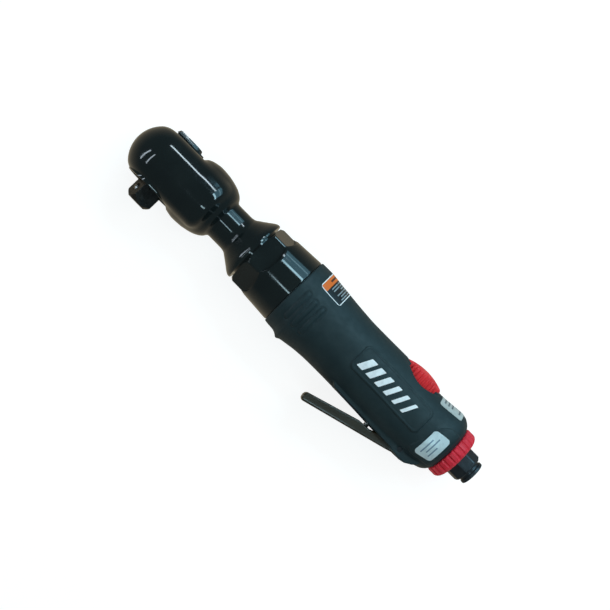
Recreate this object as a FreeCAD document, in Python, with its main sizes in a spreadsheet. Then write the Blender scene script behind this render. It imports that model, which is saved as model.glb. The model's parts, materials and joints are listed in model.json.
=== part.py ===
import FreeCAD, Part
import math
import os
import re
import Sketcher

# Air ratchet with a half inch square drive, millimetres.
# Row frame: origin where the square drive leaves the head, -Y the way the drive points,
# +X from the head along the tool to the air inlet, +Z out of the tool's left side.
# Pieces on the tool's axis are drawn in the tool frame: X is the distance from the nose, Y and Z
# are measured from the tool's axis. Pieces on the drive axis are drawn in the row frame itself.

V = FreeCAD.Vector
GAP = 0.05  # radial running clearance of a shaft in its hole

SIZES = (
    ("drive_from_nose", 25.4, "nose to the drive axis"),
    ("axis_height", 17.7, "drive face to the tool's axis"),
    ("drive_square", 12.7, "half inch square drive, across flats"),
    ("drive_reach", 10.6, "length of the square outside the head"),
    ("drive_turn", 32.5, "turn of the square in the rest pose, degrees"),
    ("drive_edge", 0.4, "rounding of the square's long edges"),
    ("ball_height", 4.3, "drive face down to the detent ball"),
    ("ball_radius", 2.4, "detent ball"),
    ("ball_proud", 1.0, "detent ball outside the square"),
    ("ball_hole_depth", 2.6, "detent hole beyond the drive axis"),
    ("head_half_width", 22.0, "half width of the head and its nose radius"),
    ("head_back", 15.0, "tool's axis to the head's back face"),
    ("head_edge_depth", 12.4, "depth of the head's rounded edge"),
    ("head_edge_arc", 10.0, "small arc of the rounded edge"),
    ("head_side_arc", 19.6, "large arc of the rounded edge"),
    ("slab_end", 61.5, "end of the head's slab"),
    ("slab_end_round", 6.5, "rounding of that end"),
    ("land_radius", 16.4, "flat land around the drive bore"),
    ("bore_radius", 14.6, "drive bore in the head"),
    ("bore_roof", 9.5, "tool's axis to the roof of the drive bore"),
    ("barrel_start", 34.0, "front of the round barrel"),
    ("barrel_radius", 20.1, "round barrel behind the head"),
    ("neck_radius", 12.2, "neck"),
    ("neck_start", 67.2, "front of the neck"),
    ("neck_end", 79.2, "rear of the neck"),
    ("rim_radius", 20.2, "rim of the flare behind the neck"),
    ("rim_end", 92.3, "rear face of the rim"),
    ("spigot_radius", 16.2, "threaded spigot under the clamp nut"),
    ("spigot_end", 109.0, "rear end of the spigot"),
    ("spigot_bore", 13.8, "bore of the spigot"),
    ("cavity_radius", 12.5, "crank cavity"),
    ("bearing_bore", 9.0, "needle bearing seat"),
    ("shaft_radius", 6.0, "crankshaft"),
    ("crank_throw", 1.735, "eccentricity of the crank pin"),
    ("crank_pin_radius", 2.2, "crank pin"),
    ("bushing_middle", 42.0, "nose to the middle of the drive bushing"),
    ("bushing_radius", 4.0, "drive bushing"),
    ("anvil_radius", 11.3, "drum of the anvil"),
    ("shoulder_radius", 9.0, "anvil shoulder in the thrust plate"),
    ("journal_radius", 7.0, "anvil journal in the head's roof"),
    ("yoke_radius", 14.3, "outside of the ratchet yoke"),
    ("crest_radius", 11.7, "tips of the yoke's teeth"),
    ("root_radius", 12.35, "roots of the yoke's teeth"),
    ("pocket_radius", 6.4, "inner wall of the pawl pockets"),
    ("pocket_angle", 52.0, "half angle of a pawl pocket, degrees"),
    ("pawl_inner", 7.2, "inner face of a pawl"),
    ("pawl_outer", 11.0, "outer face of a pawl"),
    ("pawl_angle", 38.0, "half angle of a pawl, degrees"),
    ("pawl_tip", 11.5, "tip of a pawl's tooth at rest"),
    ("pawl_pin_offset", 8.9, "drive axis to a pawl pin"),
    ("pawl_pin_radius", 1.5, "pawl pin"),
    ("pawl_floor", 10.0, "lower end of the pawl pockets"),
    ("pawl_height", 10.0, "height of the pawl pockets"),
    ("spindle_radius", 3.4, "spindle of the reverse lever"),
    ("plunger_radius", 1.2, "reverse plunger"),
    ("lever_bar_front", 11.5, "reverse lever, drive axis to its front end"),
    ("lever_bar_rear", 6.6, "reverse lever, drive axis to its rear end"),
    ("lever_bar_width", 11.0, "reverse lever"),
    ("lever_bar_low", 33.6, "drive face to the reverse lever's underside"),
    ("lever_bar_high", 36.0, "drive face to the reverse lever's top"),
    ("lever_sweep", 12.4, "relief in the barrel that the reverse lever turns past"),
    ("gear_module", 0.85, "module of the planetary gears"),
    ("planet_offset", 10.2, "tool's axis to a planet gear's axis"),
    ("planet_pin_radius", 1.6, "planet pin"),
    ("ring_radius", 18.5, "outside of the ring gear"),
    ("gears_start", 110.6, "front faces of the planet gears"),
    ("gears_end", 118.2, "rear faces of the planet gears"),
    ("nut_start", 93.3, "front face of the clamp nut"),
    ("nut_end", 123.4, "rear face of the clamp nut"),
    ("nut_hex_radius", 21.1, "clamp nut under the flats"),
    ("nut_radius", 22.2, "rear of the clamp nut"),
    ("nut_flat", 18.25, "tool's axis to a milled flat"),
    ("nut_flat_end", 109.2, "rear end of a milled flat"),
    ("nut_cutter", 20.0, "radius of the cutter that ends a flat"),
    ("nut_roll", 9.0, "roll of the flats about the tool's axis, degrees"),
    ("motor_bore", 16.5, "bore of the motor housing"),
    ("motor_start", 119.6, "front face of the motor housing"),
    ("motor_end", 163.0, "rear end of the motor bore"),
    ("housing_front", 18.2, "motor housing inside the front of the grip"),
    ("housing_rear", 15.2, "motor housing inside the rear of the grip"),
    ("housing_step", 166.0, "step between the two"),
    ("housing_tail", 13.6, "tail of the motor housing"),
    ("tail_start", 240.0, "front of the tail"),
    ("housing_end", 246.8, "rear face of the motor housing"),
    ("cylinder_start", 124.6, "front face of the motor cylinder"),
    ("cylinder_end", 158.4, "rear face of the motor cylinder"),
    ("cylinder_bore", 13.0, "bore of the motor cylinder"),
    ("cylinder_offset", 1.2, "eccentricity of the cylinder's bore"),
    ("rotor_radius", 11.6, "rotor"),
    ("vane_thickness", 2.0, "rotor vane"),
    ("vane_inner", 5.6, "inner edge of a vane"),
    ("vane_outer", 11.5, "outer edge of a vane when it is in"),
    ("valve_position", 205.5, "nose to the throttle valve"),
    ("valve_bore", 4.5, "bore of the throttle valve"),
    ("stem_radius", 1.6, "throttle stem"),
    ("stem_tip", 27.5, "tool's axis to the end of the throttle stem"),
    ("seat_top", 5.4, "tool's axis down to the valve seat"),
    ("passage_radius", 4.4, "inlet passage"),
    ("dial_position", 208.6, "nose to the regulator dial"),
    ("dial_radius", 13.3, "regulator dial"),
    ("dial_base", 12.3, "tool's axis to the dial's underside"),
    ("dial_rim", 19.6, "tool's axis to the dial's rim"),
    ("dial_top", 22.2, "tool's axis to the dial's crown"),
    ("dial_pocket", 12.0, "tool's axis to the floor of the dial's pocket"),
    ("dial_scoop", 15.6, "finger clearance around the dial, in the grip"),
    ("spool_radius", 3.0, "regulator spool"),
    ("pivot_position", 227.2, "nose to the throttle lever's pin"),
    ("pivot_depth", 20.2, "tool's axis down to the throttle lever's pin"),
    ("pivot_radius", 1.5, "throttle lever's pin"),
    ("lever_half_width", 7.8, "half width of the throttle lever"),
    ("lever_wall", 1.6, "thickness of the lever's flanges"),
    ("lever_web", 2.2, "thickness of the lever's web, along Y"),
    ("cheek_inside", 8.2, "half width of the slot between the handle's cheeks"),
    ("cheek_outside", 10.6, "half width across the cheeks that hold the lever's pin"),
    ("collar_start", 247.5, "front face of the exhaust collar"),
    ("collar_end", 255.0, "rear face of the exhaust collar"),
    ("collar_radius", 15.8, "exhaust collar"),
    ("inlet_journal", 9.2, "journal under the exhaust collar"),
    ("inlet_flats", 17.6, "inlet bushing across its eight flats"),
    ("inlet_roll", 7.0, "roll of the inlet bushing's flats, degrees"),
    ("inlet_flats_end", 263.8, "rear end of the eight flats"),
    ("inlet_end", 267.5, "rear end of the inlet bushing"),
    ("inlet_thread", 5.7, "minor radius of the inlet's quarter inch pipe thread"),
    ("thread_depth", 17.0, "depth of the inlet's thread"),
)
NAMES = {name for name, size, note in SIZES}

YOKE_TEETH = 60
SUN_TEETH = 12
PLANET_TEETH = 12
RING_TEETH = 36
VANES = 5
DIAL_SCALLOPS = 32
RING_FLUTES = 26

# Grip sections: distance from the nose, height above the tool's axis, depth below it.
GRIP_SECTIONS = (
    (123.5, 22.8, 22.9),
    (130.6, 22.9, 23.5),
    (135.0, 22.5, 25.2),
    (140.5, 21.9, 24.3),
    (147.0, 21.4, 22.9),
    (158.0, 20.5, 22.3),
    (170.0, 19.9, 22.0),
    (194.0, 20.1, 22.5),
    (210.0, 19.6, 22.8),
    (224.5, 18.5, 22.4),
    (233.0, 19.3, 21.9),
    (239.0, 19.8, 20.5),
    (243.6, 18.6, 18.9),
    (247.0, 15.4, 15.7),
)

doc = FreeCAD.newDocument("air_ratchet")


def make_sheet():
    sheet = doc.addObject("Spreadsheet::Sheet", "Sizes")
    for row, (name, size, note) in enumerate(SIZES, 1):
        sheet.set(f"A{row}", name)
        sheet.set(f"B{row}", str(size))
        sheet.setAlias(f"B{row}", name)
        sheet.set(f"C{row}", note)
    doc.recompute()
    return sheet


sheet = make_sheet()


def number(text):
    """The value of an expression in the sheet's names."""
    return float(sheet.evalExpression(str(text)))


def bind(thing, prop, text):
    """Binds a property to an expression in the sheet's names."""
    def in_sheet(word):
        return f"Sizes.{word.group()}" if word.group() in NAMES else word.group()

    thing.setExpression(prop, re.sub(r"[a-z_]+", in_sheet, str(text)))


def place(thing, frame):
    """Puts a piece in the row: 'tool' pieces are drawn from the nose, 'row' pieces where they are."""
    if frame == "tool":
        bind(thing, ".Placement.Base.x", "-drive_from_nose")
        bind(thing, ".Placement.Base.y", "axis_height")


def new_body(label, frame="tool"):
    body = doc.addObject("PartDesign::Body", label)
    body.Label = label
    place(body, frame)
    return body


def new_sketch(body, plane, offset=(0, 0, 0)):
    """An empty sketch on one of the body's own origin planes, moved by expressions."""
    sketch = body.newObject("Sketcher::SketchObject", f"{body.Name}_{plane.lower()}_sketch")
    origin_plane = [f for f in body.Origin.OriginFeatures if f.Role == f"{plane}_Plane"][0]
    sketch.AttachmentSupport = (origin_plane, [""])
    sketch.MapMode = "FlatFace"
    for axis, text in zip("xyz", offset):
        if text != 0:
            bind(sketch, f".AttachmentOffset.Base.{axis}", text)
    return sketch


def arc_side(start, end, radius):
    """A minor arc from start to end, its centre to the left of travel where radius is positive."""
    chord = end - start
    height = math.sqrt(radius**2 - chord.Length**2 / 4)
    left = V(-chord.y, chord.x, 0).normalize() * math.copysign(height, radius)
    centre = (start + end) / 2 + left
    angles = [math.atan2(p.y - centre.y, p.x - centre.x) for p in (start, end)]
    if radius < 0:
        angles.reverse()
    if angles[1] < angles[0]:
        angles[1] += 2 * math.pi
    return Part.ArcOfCircle(Part.Circle(centre, V(0, 0, 1), abs(radius)), *angles)


def outline(sketch, corners):
    """Adds a closed outline. A corner is (x, y), or (x, y, radius) where an arc starts from it."""
    points = [V(number(c[0]), number(c[1]), 0) for c in corners]
    first = sketch.GeometryCount
    ends = []
    for i, corner in enumerate(corners):
        start, end = points[i], points[(i + 1) % len(points)]
        radius = number(corner[2]) if len(corner) > 2 else 0
        sketch.addGeometry(arc_side(start, end, radius) if radius else Part.LineSegment(start, end))
        ends.append((2, 1) if radius < 0 else (1, 2))
    for i, corner in enumerate(corners):
        side, after = first + i, first + (i + 1) % len(corners)
        start, end = ends[i]
        joined = ends[after - first][0]
        sketch.addConstraint(Sketcher.Constraint("Coincident", side, end, after, joined))
        for kind, text, size in zip(("DistanceX", "DistanceY"), corner[:2], (points[i].x, points[i].y)):
            held = sketch.addConstraint(Sketcher.Constraint(kind, -1, 1, side, start, size))
            bind(sketch, f"Constraints[{held}]", text)
        if len(corner) > 2:
            held = sketch.addConstraint(Sketcher.Constraint("Radius", side, abs(number(corner[2]))))
            bind(sketch, f"Constraints[{held}]", f"abs({corner[2]})")


def circle(sketch, x, y, radius):
    ring = sketch.addGeometry(Part.Circle(V(number(x), number(y), 0), V(0, 0, 1), number(radius)))
    for kind, text in (("DistanceX", x), ("DistanceY", y)):
        held = sketch.addConstraint(Sketcher.Constraint(kind, -1, 1, ring, 3, number(text)))
        bind(sketch, f"Constraints[{held}]", text)
    held = sketch.addConstraint(Sketcher.Constraint("Radius", ring, number(radius)))
    bind(sketch, f"Constraints[{held}]", radius)


def checked(body, feature, cut):
    """Recomputes, and stops where a feature added or removed nothing."""
    before = feature.BaseFeature.Shape.Volume if feature.BaseFeature else 0
    doc.recompute()
    change = feature.Shape.Volume - before
    if (change >= 0) if cut else (change <= 0):
        raise RuntimeError(f"{feature.Name} of {body.Label} changed the volume by {change}")
    return feature


def turned(body, about, corners, cut=False, at=0):
    """Revolves an outline. About 'X' it holds (x, radius), and about 'Y' (radius, y) at x = at."""
    sketch = new_sketch(body, "XY", (at, 0, 0))
    outline(sketch, corners)
    kind = "Groove" if cut else "Revolution"
    feature = body.newObject(f"PartDesign::{kind}", f"{body.Name}_{kind.lower()}")
    feature.Profile = sketch
    feature.ReferenceAxis = (sketch, ["H_Axis" if about == "X" else "V_Axis"])
    feature.Angle = 360
    return checked(body, feature, cut)


def slab(body, plane, low, high, shapes, cut=False):
    """Pads or pockets shapes between two positions along the plane's normal axis.

    A shape is an outline's list of corners, or a circle's tuple (x, y, radius).
    """
    normal_up = plane != "XZ"
    start = low if normal_up != cut else high
    sketch = new_sketch(body, plane, (0, 0, start if normal_up else f"-({start})"))
    for shape in shapes:
        if isinstance(shape, tuple):
            circle(sketch, *shape)
        else:
            outline(sketch, shape)
    kind = "Pocket" if cut else "Pad"
    feature = body.newObject(f"PartDesign::{kind}", f"{body.Name}_{kind.lower()}")
    feature.Profile = sketch
    bind(feature, "Length", f"({high}) - ({low})")
    return checked(body, feature, cut)


def pattern(body, original, count):
    """Repeats a feature evenly about the body's own X axis."""
    feature = body.newObject("PartDesign::PolarPattern", f"{body.Name}_pattern")
    feature.Originals = [original]
    feature.Axis = ([f for f in body.Origin.OriginFeatures if f.Role == "X_Axis"][0], [""])
    feature.Angle = 360
    feature.Occurrences = count
    body.Tip = feature
    doc.recompute()
    return feature


def dress(body, kind, chosen, size):
    """Fillets or chamfers the edges of the body's tip that chosen() accepts."""
    base = body.Tip
    edges = [f"Edge{i}" for i, edge in enumerate(base.Shape.Edges, 1) if chosen(edge)]
    feature = body.newObject(f"PartDesign::{kind}", f"{body.Name}_{kind.lower()}")
    feature.Base = (base, edges)
    bind(feature, "Radius" if kind == "Fillet" else "Size", size)
    doc.recompute()
    return feature


def lathe(label, corners, about="X", frame="tool", at=0):
    body = new_body(label, frame)
    turned(body, about, corners, at=at)
    return body


def ring(label, low, high, outer, inner, about="X", frame="tool", at=0):
    """A plain ring between two positions on its axis."""
    if about == "X":
        corners = [(low, inner), (high, inner), (high, outer), (low, outer)]
    else:
        corners = [(inner, low), (outer, low), (outer, high), (inner, high)]
    return lathe(label, corners, about, frame, at)


def solid(label, shape, frame="tool"):
    """A piece made with Part's own functions, from sizes read from the sheet.

    The compound keeps the shape where it is drawn when the piece gets its placement.
    """
    feature = doc.addObject("Part::Feature", label)
    feature.Label = label
    feature.Shape = Part.makeCompound([shape])
    place(feature, frame)
    return feature


def polar(radius, degrees):
    """Expressions for a point at a radius and an angle."""
    return f"({radius}) * cos({degrees})", f"({radius}) * sin({degrees})"


def box_corners(x_low, x_high, y_low, y_high):
    return [(x_low, y_low), (x_high, y_low), (x_high, y_high), (x_low, y_high)]


# ---------------------------------------------------------------- head


def head_section(middle):
    """Half the head's section: (half width, height) corners, with two arcs on each side edge."""
    half = "(head_back + axis_height) / 2"
    flat = "head_half_width - head_edge_depth"
    across = f"{flat} + head_edge_arc * (head_side_arc - head_edge_depth) / (head_side_arc - head_edge_arc)"
    rise = f"({half} - head_edge_arc) * head_side_arc / (head_side_arc - head_edge_arc)"
    return [
        (0, f"{middle} - {half}"),
        (flat, f"{middle} - {half}", "head_edge_arc"),
        (across, f"{middle} - {rise}", "head_side_arc"),
        (across, f"{middle} + {rise}", "head_edge_arc"),
        (flat, f"{middle} + {half}"),
        (0, f"{middle} + {half}"),
    ]


def make_head():
    body = new_body("ratchet_head")
    middle = "(head_back - axis_height) / 2"
    turned(body, "Y", head_section(middle), at="head_half_width")
    half = head_section(middle)[1:-1]
    section = [(y, z) + tuple(f"-({r})" for r in rest) for z, y, *rest in half]
    mirrored = []
    for i, (z, y, *rest) in enumerate(reversed(half)):
        following = half[len(half) - 2 - i][2:] if i < len(half) - 1 else ()
        mirrored.append((y, f"-({z})") + tuple(f"-({r})" for r in following))
    slab(body, "YZ", "head_half_width", "slab_end", [section + mirrored])
    end = number("slab_end")
    dress(body, "Fillet", lambda e: max(abs(e.BoundBox.XMin - end), abs(e.BoundBox.XMax - end)) < 0.01,
          number("slab_end_round"))
    turned(
        body,
        "X",
        [
            ("barrel_start", 0),
            ("neck_end", 0),
            ("rim_end - 2", 0),
            ("spigot_end", 0),
            ("spigot_end", "spigot_radius - 0.6"),
            ("spigot_end - 0.6", "spigot_radius"),
            ("rim_end", "spigot_radius"),
            ("rim_end", "rim_radius"),
            ("rim_end - 2", "rim_radius - 0.1"),
            ("neck_end", "neck_radius"),
            ("neck_start", "neck_radius", -1.5),
            ("neck_start - 1.0", "neck_radius + 0.6", 9),
            ("neck_start - 9.4", "barrel_radius - 1.7"),
            ("barrel_start + 12", "barrel_radius", 14),
            ("barrel_start + 3.6", "barrel_radius - 2.2"),
            ("barrel_start + 1", "head_back - 1.5"),
            ("barrel_start", "head_back - 2"),
        ],
    )
    turned(
        body,
        "Y",
        [(0, "-axis_height"), ("land_radius", "-axis_height"), ("land_radius", -10), (0, -10)],
        at="drive_from_nose",
    )
    turned(
        body,
        "Y",
        [
            (0, "-axis_height - 1"),
            ("bore_radius", "-axis_height - 1"),
            ("bore_radius", "-axis_height + 0.4"),
            ("bore_radius + 0.75", "-axis_height + 0.4"),
            ("bore_radius + 0.75", "-axis_height + 1.5"),
            ("bore_radius", "-axis_height + 1.5"),
            ("bore_radius", "bore_roof"),
            (f"journal_radius + {GAP}", "bore_roof"),
            (f"journal_radius + {GAP}", "head_back"),
            ("lever_sweep", "head_back"),
            ("lever_sweep", "head_back + 4"),
            (0, "head_back + 4"),
        ],
        cut=True,
        at="drive_from_nose",
    )
    turned(
        body,
        "X",
        [
            (36, 0),
            ("spigot_end + 1", 0),
            ("spigot_end + 1", "spigot_bore"),
            ("rim_end - 1", "spigot_bore"),
            ("neck_end + 5", "bearing_bore"),
            (53, "bearing_bore"),
            (53, "cavity_radius"),
            (36, "cavity_radius"),
        ],
        cut=True,
    )


def make_head_closure():
    ring("head_thrust_plate", 1.6, 3.8, "bore_radius - 0.1", "shoulder_radius + 0.1", "Y", "row")
    snap = new_body("head_retaining_ring", "row")
    slab(snap, "XZ", 0.5, 1.4, [(0, 0, "bore_radius + 0.65"), (0, 0, "bore_radius - 1.7")])
    gap = box_corners("bore_radius - 4", "bore_radius + 2", -3, 3)
    slab(snap, "XZ", 0, 2, [gap], cut=True)


# ---------------------------------------------------------------- ratchet


def make_anvil():
    body = new_body("anvil", "row")
    bore = f"spindle_radius + {GAP}"
    turned(
        body,
        "Y",
        [
            (0, 1.5),
            ("shoulder_radius", 1.5),
            ("shoulder_radius", 4.1),
            ("anvil_radius", 4.1),
            ("anvil_radius", 26.6),
            ("journal_radius", 26.6),
            ("journal_radius", 32.3),
            (bore, 32.3),
            (bore, 8),
            (0, 8),
        ],
    )
    corner = "drive_square / sqrt(2)"
    square = [polar(corner, f"45 - drive_turn + {quarter * 90}") for quarter in range(4)]
    slab(body, "XZ", "-drive_reach", 1.6, [square])
    reach = number("-drive_reach")
    dress(body, "Fillet", lambda e: e.BoundBox.YMin < reach + 0.01 and e.BoundBox.YLength > 5, "drive_edge")
    tip = [(5.6, "-drive_reach - 0.1"), (10, "-drive_reach - 0.1"), (10, "-drive_reach + 3.8")]
    turned(body, "Y", tip, cut=True)
    for side in (90, 270):
        pocket = sector("pocket_radius", "anvil_radius + 1", "pocket_angle", side)
        slab(body, "XZ", "pawl_floor", "pawl_floor + pawl_height", [pocket], cut=True)
        window = sector("spindle_radius - 1", "pocket_radius + 0.2", "pocket_angle", side)
        slab(body, "XZ", "pawl_floor + 3.4", "pawl_floor + 6.6", [window], cut=True)
        pin = (0, f"pawl_pin_offset * {1 if side == 90 else -1}", "pawl_pin_radius")
        slab(body, "XZ", "pawl_floor - 4", "pawl_floor + pawl_height + 4", [pin], cut=True)
    drill_detent(body)


def sector(inner, outer, half_angle, middle):
    """Corners of a ring sector about the drive axis, seen along it."""
    low, high = f"{middle} - ({half_angle})", f"{middle} + ({half_angle})"
    return [
        polar(inner, low),
        polar(outer, low) + (outer,),
        polar(outer, high),
        polar(inner, high) + (f"-({inner})",),
    ]


def detent_axis():
    """Unit vector out of the square's face that holds the detent ball."""
    turn = math.radians(number("drive_turn"))
    return V(-math.cos(turn), 0, math.sin(turn))


def drill_detent(body):
    """A blind hole across the square, from its front face to beyond the drive axis."""
    sketch = new_sketch(body, "YZ")
    circle(sketch, 0, 0, f"ball_radius + {GAP}")
    start = detent_axis() * -number("ball_hole_depth")
    offset = V(-number("ball_height"), start.z, start.x)
    spin = FreeCAD.Rotation(V(1, 0, 0), 180 + number("drive_turn"))
    sketch.AttachmentOffset = FreeCAD.Placement(offset, spin)
    feature = body.newObject("PartDesign::Pocket", "anvil_detent_hole")
    feature.Profile = sketch
    feature.Reversed = True
    bind(feature, "Length", "ball_hole_depth + drive_square")
    checked(body, feature, True)


def make_detent():
    ball = doc.addObject("Part::Sphere", "detent_ball")
    ball.Label = "detent_ball"
    bind(ball, "Radius", "ball_radius")
    out = "(drive_square / 2 + ball_proud - ball_radius)"
    bind(ball, ".Placement.Base.x", f"-{out} * cos(drive_turn)")
    bind(ball, ".Placement.Base.y", "-ball_height")
    bind(ball, ".Placement.Base.z", f"{out} * sin(drive_turn)")
    back = number(f"{out} - ball_radius") - 0.1
    start = detent_axis() * (0.3 - number("ball_hole_depth")) + V(0, -number("ball_height"), 0)
    length = back + number("ball_hole_depth") - 0.3
    solid("detent_spring", coil(1.6, 0.34, length, 3, start, detent_axis()), "row")


def coil(radius, wire, length, turns, start, axis):
    """A helical spring between its two ends, which lie wire radii inside the length."""
    spine = Part.makeHelix((length - 2 * wire) / turns, length - 2 * wire, radius)
    section = Part.Wire(Part.makeCircle(wire, V(radius, 0, 0), V(0, 1, 0)))
    spring = Part.Wire(spine).makePipeShell([section], True, True)
    spring.translate(V(0, 0, wire))
    spring.Placement = FreeCAD.Placement(start, FreeCAD.Rotation(V(0, 0, 1), axis)).multiply(spring.Placement)
    return spring


def make_pawls():
    """Two pawls that rock on their pins, one tooth at each end of each."""
    for label, side in (("pawl_a", 90), ("pawl_b", 270)):
        body = new_body(label, "row")
        low, high = f"{side} - pawl_angle", f"{side} + pawl_angle"
        tooth = 1.5
        corners = [
            polar("pawl_inner", low),
            polar("pawl_outer", f"{low} - {tooth}"),
            polar("pawl_tip", low),
            polar("pawl_outer", f"{low} + {tooth}") + ("pawl_outer",),
            polar("pawl_outer", f"{high} - {tooth}"),
            polar("pawl_tip", high),
            polar("pawl_outer", f"{high} + {tooth}"),
            polar("pawl_inner", high) + ("-pawl_inner",),
        ]
        hole = (0, f"pawl_pin_offset * {1 if side == 90 else -1}", f"pawl_pin_radius + {GAP}")
        slab(body, "XZ", "pawl_floor + 0.2", "pawl_floor + pawl_height - 0.2", [corners, hole])


def make_pawl_pins():
    low = number("pawl_floor") - 3.9
    length = number("pawl_height") + 7.8
    offset = number("pawl_pin_offset")
    pins = [
        Part.makeCylinder(number("pawl_pin_radius"), length, V(0, low, side * offset), V(0, 1, 0))
        for side in (1, -1)
    ]
    solid("pawl_pins", Part.makeCompound(pins), "row")


def make_reverse_lever():
    body = new_body("reverse_lever", "row")
    turned(
        body,
        "Y",
        [
            (0, 8.3),
            ("spindle_radius", 8.3),
            ("spindle_radius", "lever_bar_low - 0.5"),
            ("spindle_radius + 1.2", "lever_bar_low - 0.5"),
            ("spindle_radius + 1.2", "lever_bar_low"),
            ("lever_bar_width / 2", "lever_bar_low"),
            ("lever_bar_width / 2", "lever_bar_high - 0.5"),
            ("lever_bar_width / 2 - 0.6", "lever_bar_high"),
            (0, "lever_bar_high"),
        ],
    )
    bar = [
        (0, "-lever_bar_width / 2"),
        ("lever_bar_rear", -3.0),
        ("lever_bar_rear", 3.0),
        (0, "lever_bar_width / 2"),
        ("-lever_bar_front + 2", 3.4),
        ("-lever_bar_front", 2.0),
        ("-lever_bar_front", -2.0),
        ("-lever_bar_front + 2", -3.4),
    ]
    slab(body, "XZ", "lever_bar_low", "lever_bar_high", [bar])
    middle = "pawl_floor + pawl_height / 2"
    slab(body, "XY", -8, 8, [(0, middle, f"plunger_radius + {GAP}")], cut=True)


def make_plungers():
    middle = V(0, number("pawl_floor + pawl_height / 2"), 0)
    reach = number("pawl_inner") - 0.2
    radius = number("plunger_radius")
    pins = []
    for side in (1, -1):
        out = V(0, 0, side)
        shank = Part.makeCylinder(radius, reach - 2 - radius, middle + out * 2, out)
        tip = Part.makeSphere(radius, middle + out * (reach - radius))
        pins.append(shank.fuse(tip).removeSplitter())
    solid("reverse_plungers", Part.makeCompound(pins), "row")
    spring = coil(0.8, 0.2, 3.7, 4, middle - V(0, 0, 1.85), V(0, 0, 1))
    solid("plunger_spring", spring, "row")


def zigzag(teeth, low, high, low_half, high_half):
    """A closed outline of straight flanks, with a gap centred on each whole pitch."""
    points = []
    for tooth in range(teeth):
        centre = 2 * math.pi * tooth / teeth + math.pi / 2
        for radius, half in ((low, -low_half), (high, -high_half), (high, high_half), (low, low_half)):
            angle = centre + half / radius
            points.append(V(radius * math.cos(angle), 0, radius * math.sin(angle)))
    return Part.makePolygon(points + points[:1])


def make_yoke():
    blank = new_body("yoke_blank", "row")
    slab(blank, "XZ", 4.3, 26.3, [(0, 0, "yoke_radius")])
    arm_low, arm_high = "axis_height - 5.5", "axis_height + 5.5"
    slab(blank, "XZ", arm_low, arm_high, [box_corners(9, 19.8, -8.6, 8.6)])
    slot_half = "bushing_radius + crank_throw * (1 + sin(22.5)) + 0.1"
    slab(blank, "XZ", f"{arm_low} - 0.1", f"{arm_high} + 0.1",
         [box_corners(13.3, 21, f"-({slot_half})", slot_half)], cut=True)
    cutter = doc.addObject("Part::Feature", "yoke_teeth")
    teeth = zigzag(YOKE_TEETH, number("crest_radius"), number("root_radius"), 0.45, 0.1)
    cutter.Shape = Part.Face(teeth).extrude(V(0, 24, 0))
    cutter.Placement.Base = V(0, 3.3, 0)
    yoke = doc.addObject("Part::Cut", "ratchet_yoke")
    yoke.Label = "ratchet_yoke"
    yoke.Base = blank
    yoke.Tool = cutter


# ---------------------------------------------------------------- crank and gears


def make_crankshaft():
    body = new_body("crankshaft")
    turned(
        body,
        "X",
        [(46, 0), ("gears_start - 2", 0), ("gears_start - 2", 13.4), ("gears_start - 7", 13.4),
         ("gears_start - 7", "shaft_radius"), (49.5, "shaft_radius"), (49.5, 10), (46, 10)],
    )
    slab(body, "YZ", "bushing_middle - 2.9", 46.1, [("crank_throw", 0, "crank_pin_radius")])
    pins = [polar("planet_offset", 90 + 120 * i) + ("planet_pin_radius",) for i in range(3)]
    slab(body, "YZ", "gears_start - 2.1", "gears_end + 0.2", pins)


def make_drive_bushing():
    """A barrel-shaped bushing that turns on the crank pin."""
    body = lathe(
        "drive_bushing",
        [
            ("bushing_middle - 2.5", f"crank_pin_radius + {GAP}"),
            ("bushing_middle + 2.5", f"crank_pin_radius + {GAP}"),
            ("bushing_middle + 2.5", "bushing_radius - 0.6", 5.5),
            ("bushing_middle - 2.5", "bushing_radius - 0.6"),
        ],
    )
    bind(body, ".Placement.Base.y", "axis_height + crank_throw")


def needle_bearing(label, start, end):
    """A drawn cup with fourteen needles around the crankshaft."""
    shaft, seat = number("shaft_radius"), number("bearing_bore")
    needle = 1.05
    middle = shaft + GAP + needle
    cup = Part.makeCylinder(seat - 0.02, end - start, V(start, 0, 0), V(1, 0, 0))
    cup = cup.cut(Part.makeCylinder(middle + needle + GAP, end - start, V(start, 0, 0), V(1, 0, 0)))
    pieces = [cup]
    count = 14
    for i in range(count):
        angle = 2 * math.pi * i / count
        foot = V(start + 0.4, middle * math.cos(angle), middle * math.sin(angle))
        pieces.append(Part.makeCylinder(needle, end - start - 0.8, foot, V(1, 0, 0)))
    solid(label, Part.makeCompound(pieces))


def ball_bearing(label, start, end, inner, outer):
    """Two races and eight balls."""
    middle, width = (inner + outer) / 2, end - start
    ball = (outer - inner) * 0.27
    outer_race = Part.makeCylinder(outer, width, V(start, 0, 0), V(1, 0, 0)).cut(
        Part.makeCylinder(middle + ball * 0.75, width, V(start, 0, 0), V(1, 0, 0)))
    inner_race = Part.makeCylinder(middle - ball * 0.75, width, V(start, 0, 0), V(1, 0, 0)).cut(
        Part.makeCylinder(inner, width, V(start, 0, 0), V(1, 0, 0)))
    groove = Part.makeTorus(middle, ball + 0.02, V((start + end) / 2, 0, 0), V(1, 0, 0))
    pieces = [outer_race.cut(groove), inner_race.cut(groove)]
    for i in range(8):
        angle = 2 * math.pi * i / 8
        centre = V((start + end) / 2, middle * math.cos(angle), middle * math.sin(angle))
        pieces.append(Part.makeSphere(ball, centre))
    solid(label, Part.makeCompound(pieces))


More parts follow.
